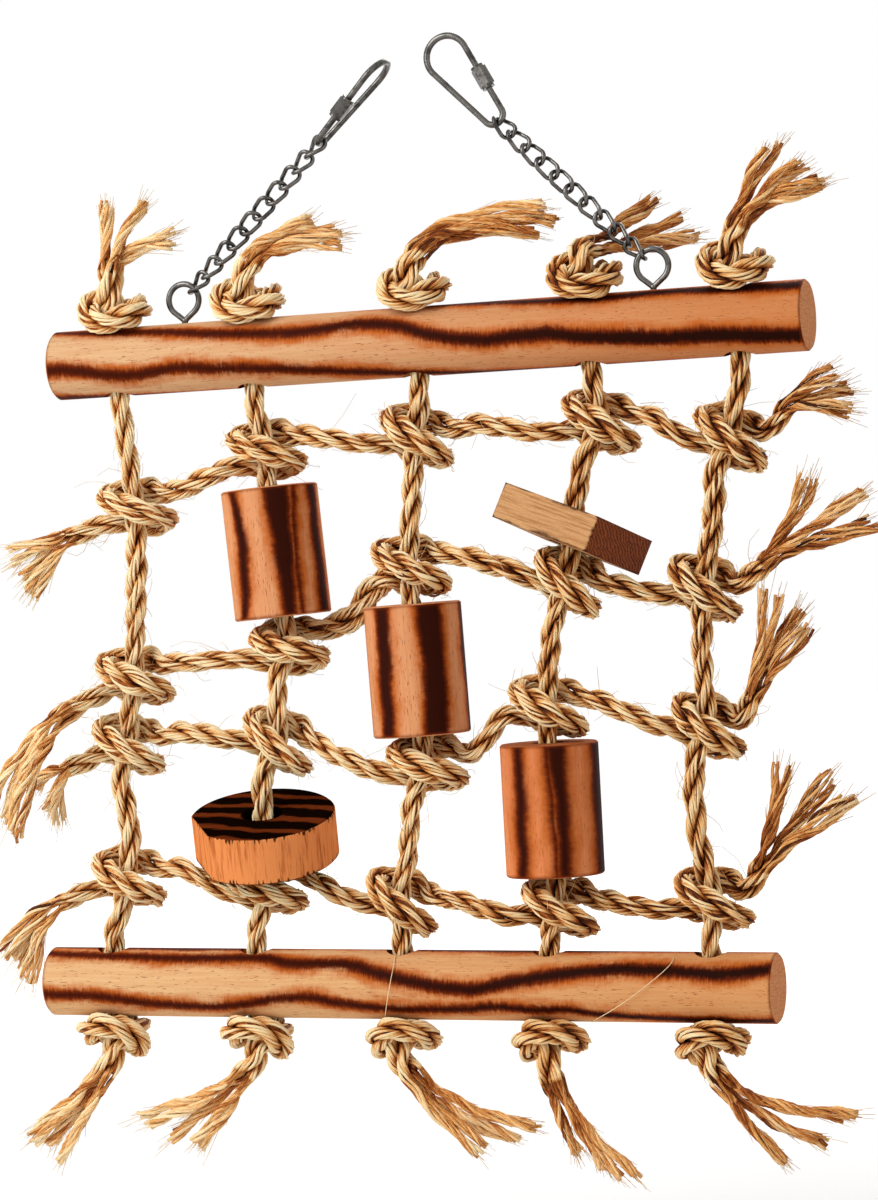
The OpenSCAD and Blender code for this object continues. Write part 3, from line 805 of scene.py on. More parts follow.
@dataclass(frozen=True)
class NetPlan:
    """Routes of the ropes, in millimetres: the points of the solids that they stand for."""

    hang: Hanging
    rope_r: float = 4.0
    rope_gap: float = 0.8
    turn_wide: float = 13.0
    turn_narrow: float = 11.0
    turn_rise: float = 6.0
    turn_span: float = 230.0
    turn_rings: int = 13
    tail_neck: float = 5.0
    bend_gap: float = 0.5
    block_len: float = 47.0
    seat_gap: float = 0.5
    cross_y: float = 2.0
    top_holes: tuple = (-117, -65, -2, 62, 116)
    bottom_holes: tuple = (-113, -57, -1, 54, 113)
    knots: tuple = (
        ((-110.5, 47), (-60, 26), (-2.5, 21), (65.5, 16), (112.5, 21.5)),
        ((-111.5, 109), (-51.5, 97), (-5, 67.5), (53.5, 72.5), (103.5, 74.5)),
        ((-114, 134), (-55.5, 131.5), (1, 138.5), (46.5, 117), (104.5, 122.5)),
        ((-114, 183), (-60, 184.5), (-8.5, 188), (50.5, 188), (107, 183.5)))
    leans: tuple = ((0, 0, -16, -14, -20), (-4, 4, -6, -26, -20),
                    (-12, -24, 0, -10, -18), (-10, 0, -22, -10, -10))
    bends: tuple = (
        (((-110, 30),), (), ((-116.5, 13), (-113, 30)), ((-117, 14),)),
        ((), ((-55, 12),), ((-60.5, 12),), ()),
        (((-4, 22),), (), ((-3.5, 13), (-5.5, 33)), ()),
        (((60.5, 12), (57.5, 25)), ((49, 14),), (), ()),
        (((108, 11), (107, 30)), ((103, 22),), ((100.5, 14), (101.5, 38)), ()))
    block_seats: tuple = ((1, 0), (2, 1), (3, 2))
    plate_seats: tuple = ((3, 0), (1, 2))
    spans: tuple = (
        (((-92, 40), (-78, 34)), ((-39, 21.5), (-22, 24)),
         ((21, 17), (43, 20)), ((85, 15), (96, 22))),
        (((-89, 103.5), (-72, 102)), ((-31, 88, 8), (-20, 75, 8)),
         ((14, 64), (33, 69)), ((75, 74.5), (88, 77))),
        (((-92, 129), (-77, 131)), ((-33, 136), (-17, 142)),
         ((18, 134.5), (31, 120.5)), ((66, 115), (83, 122))),
        (((-93, 179), (-79, 186)), ((-39, 183), (-26, 189)),
         ((12, 187), (31, 192)), ((71, 186), (88, 188))))
    left_ends: tuple = ((-16, 0, -10), (-14, -8, -12), (-16, 4, -9), (-16.94, -2, -9))
    right_ends: tuple = ((11, 0, 9), (13, 0, 9), (8, 0, 11), (9, 0, 12))
    left_tips: tuple = (
        ((-26, -2, -6), (-23, 4, -17), (-17, 0, -24)),
        ((-32, -8, -36), (-25, -4, -44), (-18, -9, -50)),
        ((-21, 6, -7), (-15, 10, -17), (-7, 6, -24)),
        ((-24, -2, -18), (-20, 3, -26), (-13, -2, -30)))
    right_tips: tuple = (
        ((25, 2, -3), (22, 5, 7), (18, 0, 16)), ((44, 0, 12), (33, 6, 24), (14, -2, 34)),
        ((20, 2, 24), (15, 8, 30), (5, 0, 36)), ((34, 2, 24), (22, 8, 32), (4, 0, 37)))
    top_tips: tuple = (
        ((27, 2, 11), (11, 6, 27), (-5, 0, 27)), ((34, 4, 8), (31, 10, 13), (24, 6, 17)),
        ((47, 4, 5), (50, 9, 11), (45, 5, 17)), ((35, 23, 3), (25, 31, 13), (14, 27, 21)),
        ((34, 2, 14), (23, 6, 23), (10, 0, 30)))
    bottom_tips: tuple = (
        ((-31, 0, -26), (-26, 6, -32), (-17, 0, -36)),
        ((-42, 0, -18), (-32, 6, -27), (-19, 0, -31)),
        ((24, 0, -27), (38, 6, -23), (50, 0, -16)), ((7, 0, -27), (20, 6, -34), (32, 0, -36)),
        ((20, 0, -30), (37, 6, -22), (51, 0, -8)))
    overhand: tuple = (
        (0.4, 1.2, 4.2), (-3.0, 4.6, 8.6), (-7.4, 3.0, 11.0), (-9.1, -3.6, 7.8),
        (-5.2, -8.6, 3.4), (1.7, -9.6, 2.2), (7.6, -6.6, 4.0), (9.1, 0.4, 6.6),
        (5.4, 6.8, 7.6), (-1.5, 8.6, 4.6), (-6.9, 4.8, 4.8), (-4.8, -1.6, 6.2),
        (-1.0, -4.2, 10.2), (0.0, -4.8, 14.8))
    top_turns: tuple = (1, 1, 1, 1, 1)
    bottom_turns: tuple = (-1, -1, 1, 1, 1)
    top_necks: tuple = (
        (0.1, 0, 1), (0.4, 0.3, 0.9), (0.5, 0.3, 0.8), (0.3, 0.95, 0.2), (0.4, 0, 0.9))
    bottom_necks: tuple = (
        (-0.5, 0, -0.85), (-0.6, 0, -0.8), (0.6, 0, -0.8), (0.3, 0, -0.95), (0.6, 0, -0.8))

    @cached_property
    def top(self) -> RopeHoles:
        """The upper perch's holes."""
        return RopeHoles(self.hang.top_middle, self.hang.top_tilt, 1, self.top_holes,
                         self.top_turns, self.top_necks)

    @cached_property
    def bottom(self) -> RopeHoles:
        """The lower perch's holes."""
        return RopeHoles(self.hang.bottom_middle, self.hang.bottom_tilt, -1, self.bottom_holes,
                         self.bottom_turns, self.bottom_necks)

    @cached_property
    def perches(self) -> tuple[RopeHoles, RopeHoles]:
        """Both perches."""
        return self.top, self.bottom

    def spot(self, x: float, drop: float, y: float = 0.0) -> Vec:
        """A place in the net."""
        return point(self.hang.top_middle[0] + x, y, self.hang.net_z - drop)

    def knot(self, row: int, col: int) -> Vec:
        """The middle of a crossing knot."""
        return self.spot(*self.knots[row][col])

    def pivot(self, perch: RopeHoles, col: int) -> Vec:
        """Where an upright bends at a perch's edge."""
        return perch.at(col, -(self.hang.perch_d / 2 + self.rope_r + self.bend_gap))

    def mouth(self, perch: RopeHoles, col: int) -> Vec:
        """The middle of a hole's mouth on the side of the stopper knots."""
        return perch.at(col, self.hang.perch_d / 2)

    def stretch(self, col: int, row: int) -> list[Vec]:
        """Finds an upright's points between two of its knots.

        Args:
            col: The upright.
            row: The row of the upper knot.

        Returns:
            The points between them: the ends of a round block, or the bends.
        """
        if (col, row) in self.block_seats:
            up = unit(self.knot(row, col) - self.knot(row + 1, col))
            seat = self.turn_reach(row + 1, col) + self.seat_gap
            foot = self.knot(row + 1, col) + seat * up
            return [foot + self.block_len * up, foot]
        top = self.knots[row][col][1]
        return [self.spot(x, top + drop) for x, drop in self.bends[col][row]]

    def upright(self, col: int) -> list[Vec]:
        """Finds an upright's points from one loose end's neck to the other.

        Args:
            col: The upright.

        Returns:
            The points, from the top.
        """
        line = self.stopper(self.top, col)[::-1] + [self.pivot(self.top, col)]
        for row in range(ROWS):
            line += [self.knot(row, col), *self.stretch(col, row)]
        return line + [self.pivot(self.bottom, col)] + self.stopper(self.bottom, col)

    def stopper(self, perch: RopeHoles, col: int) -> list[Vec]:
        """Finds a stopper knot's points, with those in the hole that it closes.

        Args:
            perch: The perch.
            col: The upright.

        Returns:
            The points from the far side of the perch to the loose end.
        """
        mouth, size = self.mouth(perch, col), self.hang.perch_d
        along = perch.turns[col] * perch.run
        lead = [mouth + z * perch.out for z in (-size, -size / 2, 0.0)]
        knot = [mouth + x * along + y * DEPTH + z * perch.out for x, y, z in self.overhand]
        return lead + knot + [knot[-1] + self.tail_neck * unit(point(*perch.necks[col]))]

    def wood_on(self, col: int) -> list[Vec]:
        """Rough middles of the blocks and plates on an upright."""
        rows = [row for seat, row in self.block_seats + self.plate_seats if seat == col]
        return [0.5 * self.knot(row, col) + 0.5 * self.knot(row + 1, col) for row in rows]

    def turn(self, row: int, col: int) -> list[Vec]:
        """Finds a cross rope's points round one upright.

        Args:
            row: The cross rope.
            col: The upright.

        Returns:
            The points.
        """
        lean = math.radians(self.leans[row][col])
        depth = 2 * self.rope_r + self.rope_gap
        made = []
        for i in range(self.turn_rings + 1):
            a = math.radians(self.turn_span * (1 - 2 * i / self.turn_rings))
            x = (self.turn_wide if math.sin(a) > 0 else self.turn_narrow) * math.sin(a)
            z = -self.turn_rise * math.sin(a / 2)
            made.append(self.knot(row, col) + point(
                x * math.cos(lean) - z * math.sin(lean), -depth * math.cos(a),
                x * math.sin(lean) + z * math.cos(lean)))
        return made

    def turn_reach(self, row: int, col: int) -> float:
        """How far a turn's top lies above the middle of its knot."""
        top = max(float(p[2]) for p in self.turn(row, col)) - float(self.knot(row, col)[2])
        return max(self.turn_rise, top) + self.rope_r

    def cross(self, row: int) -> list[Vec]:
        """Finds a cross rope's points from its left end to its right end.

        Args:
            row: The cross rope.

        Returns:
            The points.
        """
        left, right = point(*self.left_ends[row]), point(*self.right_ends[row])
        line = [self.knot(row, 0) + left - point(self.turn_narrow - self.rope_r, 0, 0)]
        for col in range(COLUMNS):
            if col:
                line += [self.spot(p[0], p[1], p[2] if len(p) > 2 else self.cross_y)
                         for p in self.spans[row][col - 1]]
            line += self.turn(row, col)
        end = self.knot(row, COLUMNS - 1) + right + point(self.turn_wide - self.rope_r, 0, 0)
        return line + [end]


# Ropes


def swept(name: str, lines: Sequence[Vec], radius: float, rounding: int,
          widths: Sequence[Vec] | None = None) -> Mesh:
    """Sweeps a round section along lines.

    Args:
        name: The mesh's name.
        lines: The places of each line, in millimetres.
        radius: The section's radius, in millimetres.
        rounding: How finely the section is rounded.
        widths: The section's scale along open lines. Without it the lines are closed.

    Returns:
        One mesh of all tubes.
    """
    curve = bpy.data.curves.new(name, "CURVE")
    curve.dimensions = "3D"
    curve.bevel_depth = radius * MM
    curve.bevel_resolution = rounding
    for number, line in enumerate(lines):
        spline = curve.splines.new("POLY")
        spline.points.add(len(line) - 1)
        spline.points.foreach_set("co", np.hstack([line * MM, np.ones((len(line), 1))]).ravel())
        if widths is None:
            spline.use_cyclic_u = True
        else:
            spline.points.foreach_set("radius", widths[number])
        spline.use_smooth = True
    holder = bpy.data.objects.new(name, curve)
    bpy.context.scene.collection.objects.link(holder)
    depsgraph = bpy.context.evaluated_depsgraph_get()
    mesh = bpy.data.meshes.new_from_object(holder.evaluated_get(depsgraph))
    bpy.data.objects.remove(holder)
    bpy.data.curves.remove(curve)
    mesh.name = name
    return mesh


@dataclass(frozen=True)
class Fray:
    """How yarns come apart at a loose end, in millimetres. A pair holds the ends of a range."""

    puff: float = 1.3
    puff_haste: float = 3.0
    gather: float = 0.2
    pull: float = 0.35
    step: float = 1.9
    fewest: int = 10
    pitch: Range = (15, 24)
    reach: Range = (0.93, 1.03)
    part: Range = (1.4, 2.4)
    part_haste: float = 2.5
    cut: Range = (0.98, 1.02)
    ring: Range = (1.6, 3.0)
    widen: Range = (0.0, 0.5)
    spin: float = 0.8
    crimp: float = 0.5
    drift: float = 0.45
    # Painted shade: loose yarns start darker than the laid rope and grow paler towards their tips
    painted_root_shade: float = 0.12
    pale: float = 0.3
    pale_haste: float = 1.1
    tone_spread: float = 0.1


@dataclass(frozen=True)
class Fibres:
    """How fibres stand out of a rope, in millimetres. A pair holds the ends of a range."""

    points: int = 4
    every: float = 1.85
    radii: Range = (0.09, 0.054)
    root: float = 0.92
    lengths: tuple[Range, ...] = ((2, 6), (6, 11), (11, 18))
    odds: Triple = (0.84, 0.13, 0.03)
    rise: Range = (0.1, 0.55)
    arch: Range = (1.2, 2.8)
    stray: float = 0.6
    aside: float = 0.25
    tones: Range = (0.35, 1.0)
    hidden_r: float = 27.0
    bar_r: float = 17.0
    brush: int = 4
    brush_radii: Range = (0.16, 0.08)
    brush_from: Range = (0.2, 0.95)
    brush_lean: float = 0.6
    brush_span: tuple[int, int] = (3, 8)
    brush_past: Range = (0.0, 0.5)
    brush_bend: float = 0.6
    brush_stray: float = 1.1
    brush_tones: Range = (0.5, 1.0)


@dataclass(frozen=True)
class Lay:
    """How a rope is laid from strands of yarns, in millimetres.

    The waves hold a size and a length. A pitch holds the ends of a range.
    """

    rope_r: float = 4.0
    strands: int = 3
    yarns: int = 10
    strand_turn: float = 38.0
    yarn_turn: float = 27.0
    step: float = 1.7
    long_wave: Range = (0.04, 17.0)
    short_wave: Range = (0.03, 7.3)
    twist_wave: Range = (0.35, 23.0)
    sway: float = 0.42
    sway_pitch: Range = (6, 14)
    bulge: float = 0.17
    bulge_pitch: Range = (4, 9)
    tight_from: float = 4.5
    tight_over: float = 4.0
    tight_swell: float = 0.14
    tight_spread: float = 0.34
    tight_press: float = 0.14
    tone: float = 0.78
    tone_spread: float = 0.18
    tone_limits: Range = (0.2, 1.0)
    # Painted shade and highlight: a yarn's tone falls deep in the grooves between strands and
    # rises on their crests, by this much for each share of the rope's radius, unchanged at the
    # share below
    painted_crest_and_groove_shade: float = 1.35
    painted_shade_neutral: float = 0.9
    # Painted shade: every tone falls by this much for each millimetre towards +X, for light that
    # falls from the left
    fade: float = 0.0009
    heart_r: float = 1.3
    # Painted shade: the strand fillings are dark, for the shade inside the rope
    heart_painted_shade: float = 0.14
    fray: Fray = Fray()
    fibres: Fibres = Fibres()

    @cached_property
    def strand_r(self) -> float:
        """Radius of a strand."""
        return self.rope_r / (1 + 2 / math.sqrt(3))

    @cached_property
    def yarn_r(self) -> float:
        """Radius of a yarn."""
        return self.strand_r / (1 + 1 / math.sin(math.pi / self.yarns))


class Bundle:
    """Yarns and fibres of one piece, gathered as lines before they become a mesh."""

    SIDES = 6
    GRAIN_R = 0.7
    GRAIN_RUN = 0.055
    GRAIN_ASIDE = 3.7
    GRAIN_ROOM = 41.0
    GRAIN_AHEAD = 1.3

    def __init__(self, lay: Lay) -> None:
        """Starts empty.

        Args:
            lay: How the rope is laid.
        """
        self.lay = lay
        self.lines: list[Vec] = []
        self.widths: list[Vec] = []
        self.tones: list[Vec] = []

    def add(self, line: Vec, radius: Any, tone: Any) -> None:
        """Adds one yarn or fibre.

        Args:
            line: Its places, in millimetres.
            radius: Its radius, one number or one for each place.
            tone: How pale it is, about 0 to 1, one number or one for each place.
        """
        widths = np.asarray(radius, float) / self.lay.yarn_r
        self.lines.append(line)
        self.widths.append(np.broadcast_to(widths, (len(line),)))
        # Painted shade: the tone falls towards +X, for light that falls from the left
        self.tones.append(np.asarray(tone, float) - self.lay.fade * line[:, 0])

    def mesh(self, name: str) -> Mesh:
        """Sweeps every line into a closed tube and marks it with its tone and grain.

        Args:
            name: The mesh's name.

        Returns:
            One mesh of all tubes.
        """
        mesh = swept(name, self.lines, self.lay.yarn_r, (self.SIDES - 4) // 2, self.widths)
        self._mark(mesh)
        shape = bmesh.new()
        shape.from_mesh(mesh)
        mouths = [edge for edge in shape.edges if edge.is_boundary]
        bmesh.ops.holes_fill(shape, edges=mouths, sides=self.SIDES)
        for face in shape.faces:
            face.smooth = True
        bmesh.ops.recalc_face_normals(shape, faces=shape.faces)
        shape.to_mesh(mesh)
        shape.free()
        return mesh

    def _mark(self, mesh: Mesh) -> None:
        """Writes the tone of each yarn, painted shade and highlight included, and its own
        coordinates, which run with it.

        Args:
            mesh: The tubes, before their ends are closed.
        """
        tones, grains = [], []
        turn = np.arange(self.SIDES) * math.tau / self.SIDES
        ring = self.GRAIN_R * np.stack([np.cos(turn), np.sin(turn)], axis=1)
        for number, (line, tone) in enumerate(zip(self.lines, self.tones)):
            grain = np.empty((len(line), self.SIDES, 3))
            grain[:, :, :2] = ring + (number * self.GRAIN_ASIDE % self.GRAIN_ROOM)
            ahead = number * self.GRAIN_AHEAD
            grain[:, :, 2] = run_along(line)[:, None] * self.GRAIN_RUN + ahead
            grains.append(grain.reshape(-1, 3))
            tones.append(np.repeat(tone, self.SIDES))
        values = np.concatenate(tones)
        if len(values) != len(mesh.vertices):
            raise ValueError(f"{mesh.name}: {len(mesh.vertices)} vertices, not {len(values)}")
        mesh.attributes.new("tone", "FLOAT", "POINT").data.foreach_set("value", values)
        mesh.attributes.new("grain", "FLOAT_VECTOR", "POINT").data.foreach_set(
            "vector", np.concatenate(grains).ravel())


class RopeLine:
    """A rope's centre line with frames that don't twist."""

    ASKEW = point(0.3, 1.0, 0.2)

    def __init__(self, points: Sequence[Vec], step: float) -> None:
        """Lays the line and carries a side along it.

        Args:
            points: The places that the rope goes through.
            step: The distance between two places on the line.
        """
        self.at = smooth_line(points, step)
        self.run = run_along(self.at)
        self.along = unit(np.gradient(self.at, axis=0))
        side = unit(np.cross(self.along[0], self.ASKEW))
        sides = []
        for t in self.along:
            side = unit(side - np.dot(side, t) * t)
            sides.append(side)
        self.side = np.array(sides)
        self.over = np.cross(self.along, self.side)

    def nearest(self, place: Vec) -> int:
        """The number of the line's place that lies nearest to a given one."""
        return int(np.argmin(np.linalg.norm(self.at - place, axis=1)))


@dataclass
class Laid:
    """The yarns of one laid rope.

    Each yarn has its line and its tones. Each strand has its offsets from the centre line. The
    radius is that of every yarn at each place.
    """

    yarns: list[Vec]
    tones: list[Vec]
    cores: list[Vec]
    radius: Vec


class RopeMaker:
    """Turns a rope's line and its loose ends into yarns and fibres."""

    NONE = np.empty((0, 3))
    PHASE = (0, 6)

    def __init__(self, lay: Lay, seed: int) -> None:
        """Keeps the lay and starts the seeded choice of small differences."""
        self.lay = lay
        self.dice = np.random.default_rng(seed)

    def lay_in(self, line: RopeLine, swell: Any = 1.0, flat: bool = False) -> Laid:
        """Lays the strands and yarns of one rope.

        Args:
            line: The rope's centre line.
            swell: How much thicker the rope is, one number or one for each place.
            flat: Whether the rope spreads where it lies tight in front of or behind an upright.

        Returns:
            The yarns, whose tones fall towards the grooves between the strands.
        """
        lay, dice, run = self.lay, self.dice, line.run
        tight = np.zeros((len(line.at), 1))
        if flat:
            tight = ease((np.abs(line.at[:, 1:2]) - lay.tight_from) / lay.tight_over)
        laid = Laid([], [], [], lay.yarn_r * (swell + lay.tight_swell * tight[:, 0]))
        start, phase = dice.uniform(0, math.tau, 2)
        swell = (swell + lay.long_wave[0] * np.sin(run / lay.long_wave[1] + phase)
                 + lay.short_wave[0] * np.sin(run / lay.short_wave[1] + start))
        twist = (math.tau * run / lay.strand_turn
                 + lay.twist_wave[0] * np.sin(run / lay.twist_wave[1] + phase))
        for strand in range(lay.strands):
            a = (start + twist + math.tau * strand / lay.strands)[:, None]
            core = ((lay.rope_r - lay.strand_r) * swell[:, None]
                    * (np.cos(a) * line.side + np.sin(a) * line.over))
            laid.cores.append(self._pressed(line, core, tight))
            for yarn in range(lay.yarns):
                b = (phase + strand + math.tau * yarn / lay.yarns
                     - math.tau * run / lay.yarn_turn)
                sway = np.sin(run / dice.uniform(*lay.sway_pitch) + dice.uniform(*self.PHASE))
                b = (b + lay.sway * sway)[:, None]
                bulge = 1 + lay.bulge * np.sin(run / dice.uniform(*lay.bulge_pitch) + yarn)
                r = swell[:, None] * (lay.strand_r - lay.yarn_r) * bulge[:, None]
                offset = core + r * (np.cos(b) * line.side + np.sin(b) * line.over)
                laid.yarns.append(line.at + self._pressed(line, offset, tight))
                # Painted shade in the grooves and painted highlight on the crests, by how far out
                # the yarn lies
                outer = np.linalg.norm(offset, axis=1) / (lay.rope_r - lay.yarn_r) / swell
                tone = np.clip(dice.normal(lay.tone, lay.tone_spread), *lay.tone_limits)
                laid.tones.append(tone + lay.painted_crest_and_groove_shade * (outer - lay.painted_shade_neutral))
        return laid

    def _pressed(self, line: RopeLine, offset: Vec, tight: Vec) -> Vec:
        """Spreads offsets along the net's plane and presses them in depth where a rope is tight.

        Args:
            line: The rope's centre line.
            offset: Offsets from the line.
            tight: How tight the rope is at each place, from 0 to 1.

        Returns:
            The new offsets.
        """
        across = unit(np.cross(line.along, DEPTH))
        wide = np.sum(offset * across, axis=1, keepdims=True)
        spread = self.lay.tight_spread * tight * wide * across
        return offset + spread - self.lay.tight_press * tight * (offset * DEPTH)

    def hearts(self, line: RopeLine, laid: Laid, part: slice, bundle: Bundle) -> None:
        """Fills the middles of the strands, so that no light comes through, in a dark tone that is
        painted shade inside the rope.

        Args:
            line: The rope's centre line.
            laid: The rope's yarns.
            part: The places that are filled.
            bundle: Takes the fillings.
        """
        lay = self.lay
        for core in laid.cores:
            radius = lay.heart_r * laid.radius[part] / lay.yarn_r
            bundle.add((line.at + core)[part], radius, lay.heart_painted_shade)

    def whole(self, before: Vec, yarn: Vec, after: Vec, tone: Vec,
              radius: Vec) -> tuple[Vec, Vec, Vec]:
        """Joins a laid yarn and its loose parts.

        Args:
            before: The loose part at its start, from the rope outwards.
            yarn: The laid part.
            after: The loose part at its end, from the rope outwards.
            tone: The laid part's tones.
            radius: The laid part's radii.

        Returns:
            The places, the radii and the tones from one end to the other.
        """
        wide_before, pale_before = self._loosened(len(before), tone, radius[:1])
        wide_after, pale_after = self._loosened(len(after), tone, radius[-1:])
        return (np.vstack([before[::-1], yarn, after]),
                np.concatenate([wide_before[::-1], radius, wide_after]),
                np.concatenate([pale_before[::-1], tone, pale_after]))

    def _loosened(self, count: int, tone: Vec, radius: Vec) -> tuple[Vec, Vec]:
        """Finds a loose part's radii and tones, which swell and grow paler outwards: painted shade
        at the root of a loose end that fades towards its tips.

        Args:
            count: How many places it has.
            tone: The laid part's tones.
            radius: The radius where it leaves the laid part.

        Returns:
            The radii and the tones.
        """
        fray, t = self.lay.fray, np.linspace(0, 1, count)
        wide = radius * (1 + (fray.puff - 1) * ease(fray.puff_haste * t))
        pale = (float(np.mean(tone)) - fray.painted_root_shade + fray.pale * ease(fray.pale_haste * t)
                + self.dice.normal(0, fray.tone_spread))
        return wide, pale

    def tail(self, line: RopeLine, laid: Laid, tips: tuple, at_end: bool,
             bundle: Bundle) -> list[Vec]:
        """Loosens the yarns past the end of a laid rope.

        Args:
            line: The rope's centre line.
            laid: The rope's yarns.
            tips: Where the three strands end, from the end of the rope.
            at_end: Whether this is the end of the line, or its start.
            bundle: Takes the loose fibres.

        Returns:
            The places that are added to each yarn, from the rope outwards.
        """
        lay = self.lay
        index, sign = (-1, 1.0) if at_end else (0, -1.0)
        last, heading = line.at[index], sign * line.along[index]
        goals = [last + point(*t) for t in tips]
        middle = sum(goals) / len(goals)
        goals = [goal + lay.fray.gather * (middle - goal) for goal in goals]
        free = list(range(lay.strands))
        match: dict[int, Vec] = {}
        for goal in sorted(goals, key=lambda p: -np.linalg.norm(p - middle)):
            best = max(free, key=lambda k: float(np.dot(laid.cores[k][index], goal - middle)))
            free.remove(best)
            match[best] = goal
        added: list[Vec] = []
        for strand in range(lay.strands):
            foot, goal = last + laid.cores[strand][index], match[strand]
            fan = unit(np.cross(goal - foot, point(*self.dice.normal(0, 1, 3))))
            yarns = laid.yarns[strand * lay.yarns:(strand + 1) * lay.yarns]
            firsts = [yarn[index] for yarn in yarns]
            half = lay.yarns // 2
            for side, part in ((-1.0, firsts[:half]), (1.0, firsts[half:])):
                added += self._string(foot, heading, goal, side * fan, part, bundle)
        return added

    def _string(self, foot: Vec, heading: Vec, goal: Vec, aside: Vec, firsts: list[Vec],
                bundle: Bundle) -> list[Vec]:
        """Gathers a few loose yarns into one wavy string.

        Args:
            foot: Where the string's strand leaves the rope.
            heading: The rope's way there.
            goal: Where the strand ends.
            aside: The way in which the string parts from its neighbour.
            firsts: The yarns' last places on the rope.
            bundle: Takes the loose fibres.

        Returns:
            The places that are added to each yarn.
        """
        fray, dice = self.lay.fray, self.dice
        length = float(np.linalg.norm(goal - foot))
        pull = foot + fray.pull * length * heading
        across = np.cross(unit(goal - foot), aside)
        pitch, phase = dice.uniform(*fray.pitch), dice.uniform(*self.PHASE)
        reach, part = dice.uniform(*fray.reach), dice.uniform(*fray.part)
        count = max(int(length / fray.step), fray.fewest)
        added = []
        for number, first in enumerate(firsts):
            t = np.linspace(0, reach * dice.uniform(*fray.cut), count + 1)[1:, None]
            core = bow(t, foot, pull, goal)
            wave = math.tau * t * length / pitch + phase
            spin = wave * fray.spin + math.tau * number / len(firsts)
            loose = (self.lay.yarn_r * dice.uniform(*fray.ring)
                     + dice.uniform(*fray.widen) * t ** 3)
            crimp = fray.crimp * (np.cos(wave) * aside + np.sin(wave) * across)
            ring = loose * (np.cos(spin) * aside + np.sin(spin) * across)
            drift = dice.normal(0, fray.drift, 3) * t ** 3
            away = ease(fray.part_haste * t)
            parted = part * ease(t) * aside + ring + crimp
            path = core + (1 - away) * (first - foot) + away * parted + drift
            added.append(path)
            self._brush(path, bundle)
        return added

    def _brush(self, path: Vec, bundle: Bundle) -> None:
        """Lets a few fibres stand out of one loose yarn, most of them at its end.

        Args:
            path: The yarn's places.
            bundle: Takes the fibres.
        """
        fibres, dice = self.lay.fibres, self.dice
        t = np.linspace(0, 1, fibres.points)[:, None]
        for _ in range(fibres.brush):
            share = dice.uniform(*fibres.brush_from) ** fibres.brush_lean
            start = int((len(path) - fibres.brush_span[0]) * share)
            stop = min(start + int(dice.integers(*fibres.brush_span)), len(path) - 1)
            base, tip = path[start], path[stop]
            end = (tip + (tip - base) * dice.uniform(*fibres.brush_past)
                   + dice.normal(0, fibres.brush_stray, 3))
            middle = (base + end) / 2 + dice.normal(0, fibres.brush_bend, 3)
            bundle.add(bow(t, base, middle, end), np.linspace(*fibres.brush_radii, fibres.points),
                       dice.uniform(*fibres.brush_tones))

    def strays(self, line: RopeLine, first: int, last: int, bundle: Bundle,
               hidden: Sequence[Vec], perches: Sequence[RopeHoles]) -> None:
        """Adds stray fibres along a stretch of rope.

        Args:
            line: The rope's centre line.
            first: The stretch's first place.
            last: The stretch's last place.
            bundle: Takes the fibres.
            hidden: Middles of wooden pieces on the rope, near which no fibres stand out.
            perches: The perches, which no fibre comes near.
        """
        fibres, dice = self.lay.fibres, self.dice
        t = np.linspace(0, 1, fibres.points)[:, None]
        for _ in range(int((line.run[last] - line.run[first]) / fibres.every)):
            i = int(dice.integers(first, last + 1))
            a = dice.uniform(0, math.tau)
            out = math.cos(a) * line.side[i] + math.sin(a) * line.over[i]
            around = np.cross(line.along[i], out)
            lead = unit(line.along[i] * dice.choice((-1.0, 1.0))
                        + around * dice.normal(0, fibres.stray))
            lengths = [dice.uniform(*ends) for ends in fibres.lengths]
            length = dice.choice(lengths, p=fibres.odds)
            if any(np.linalg.norm(line.at[i] - middle) < fibres.hidden_r for middle in hidden):
                continue
            rise = dice.uniform(*fibres.rise) * np.sin(t * dice.uniform(*fibres.arch))
            aside = t * t * dice.normal(0, fibres.aside)
            base = line.at[i] + out * self.lay.rope_r * fibres.root
            path = base + length * (t * lead + rise * out + aside * around)
            if any(perch.clear_of(path) < fibres.bar_r for perch in perches):
                continue
            bundle.add(path, np.linspace(*fibres.radii, fibres.points),
                       dice.uniform(*fibres.tones))


# Sub-assemblies


class Body(Enum):
    """Bodies that the new pieces ride on."""

    CHAINS = "chains"
    TOP = "top_perch"
    NET = "net"
    BOTTOM = "bottom_perch"


class Slot(Enum):
    """Material slots of the record; nothing here gives them to the new pieces."""

    ROPE = "sisal_rope"
    METAL = "nickel_steel"


def show(mesh: Mesh, material: Material) -> Piece:
    """Puts a finished mesh into the scene.

    Args:
        mesh: The mesh, whose places are final.
        material: Its finish.

    Returns:
        The object.
    """
    mesh.materials.clear()
    mesh.materials.append(material)
    made = bpy.data.objects.new(mesh.name, mesh)
    bpy.context.scene.collection.objects.link(made)
    return made


def dress(node: str, material: Material) -> None:
    """Gives a solid of the frame its finish."""
    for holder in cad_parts[node].material_slots:
        holder.material = material


@dataclass(frozen=True)
class Thread:
    """A loose thread across the front of the lower perch.

    It comes from one upright, and has its first and last place along the perch, in millimetres,
    and their angles above the perch's front, in degrees.
    """

    col: int
    start: float
    end: float
    high: float
    low: float


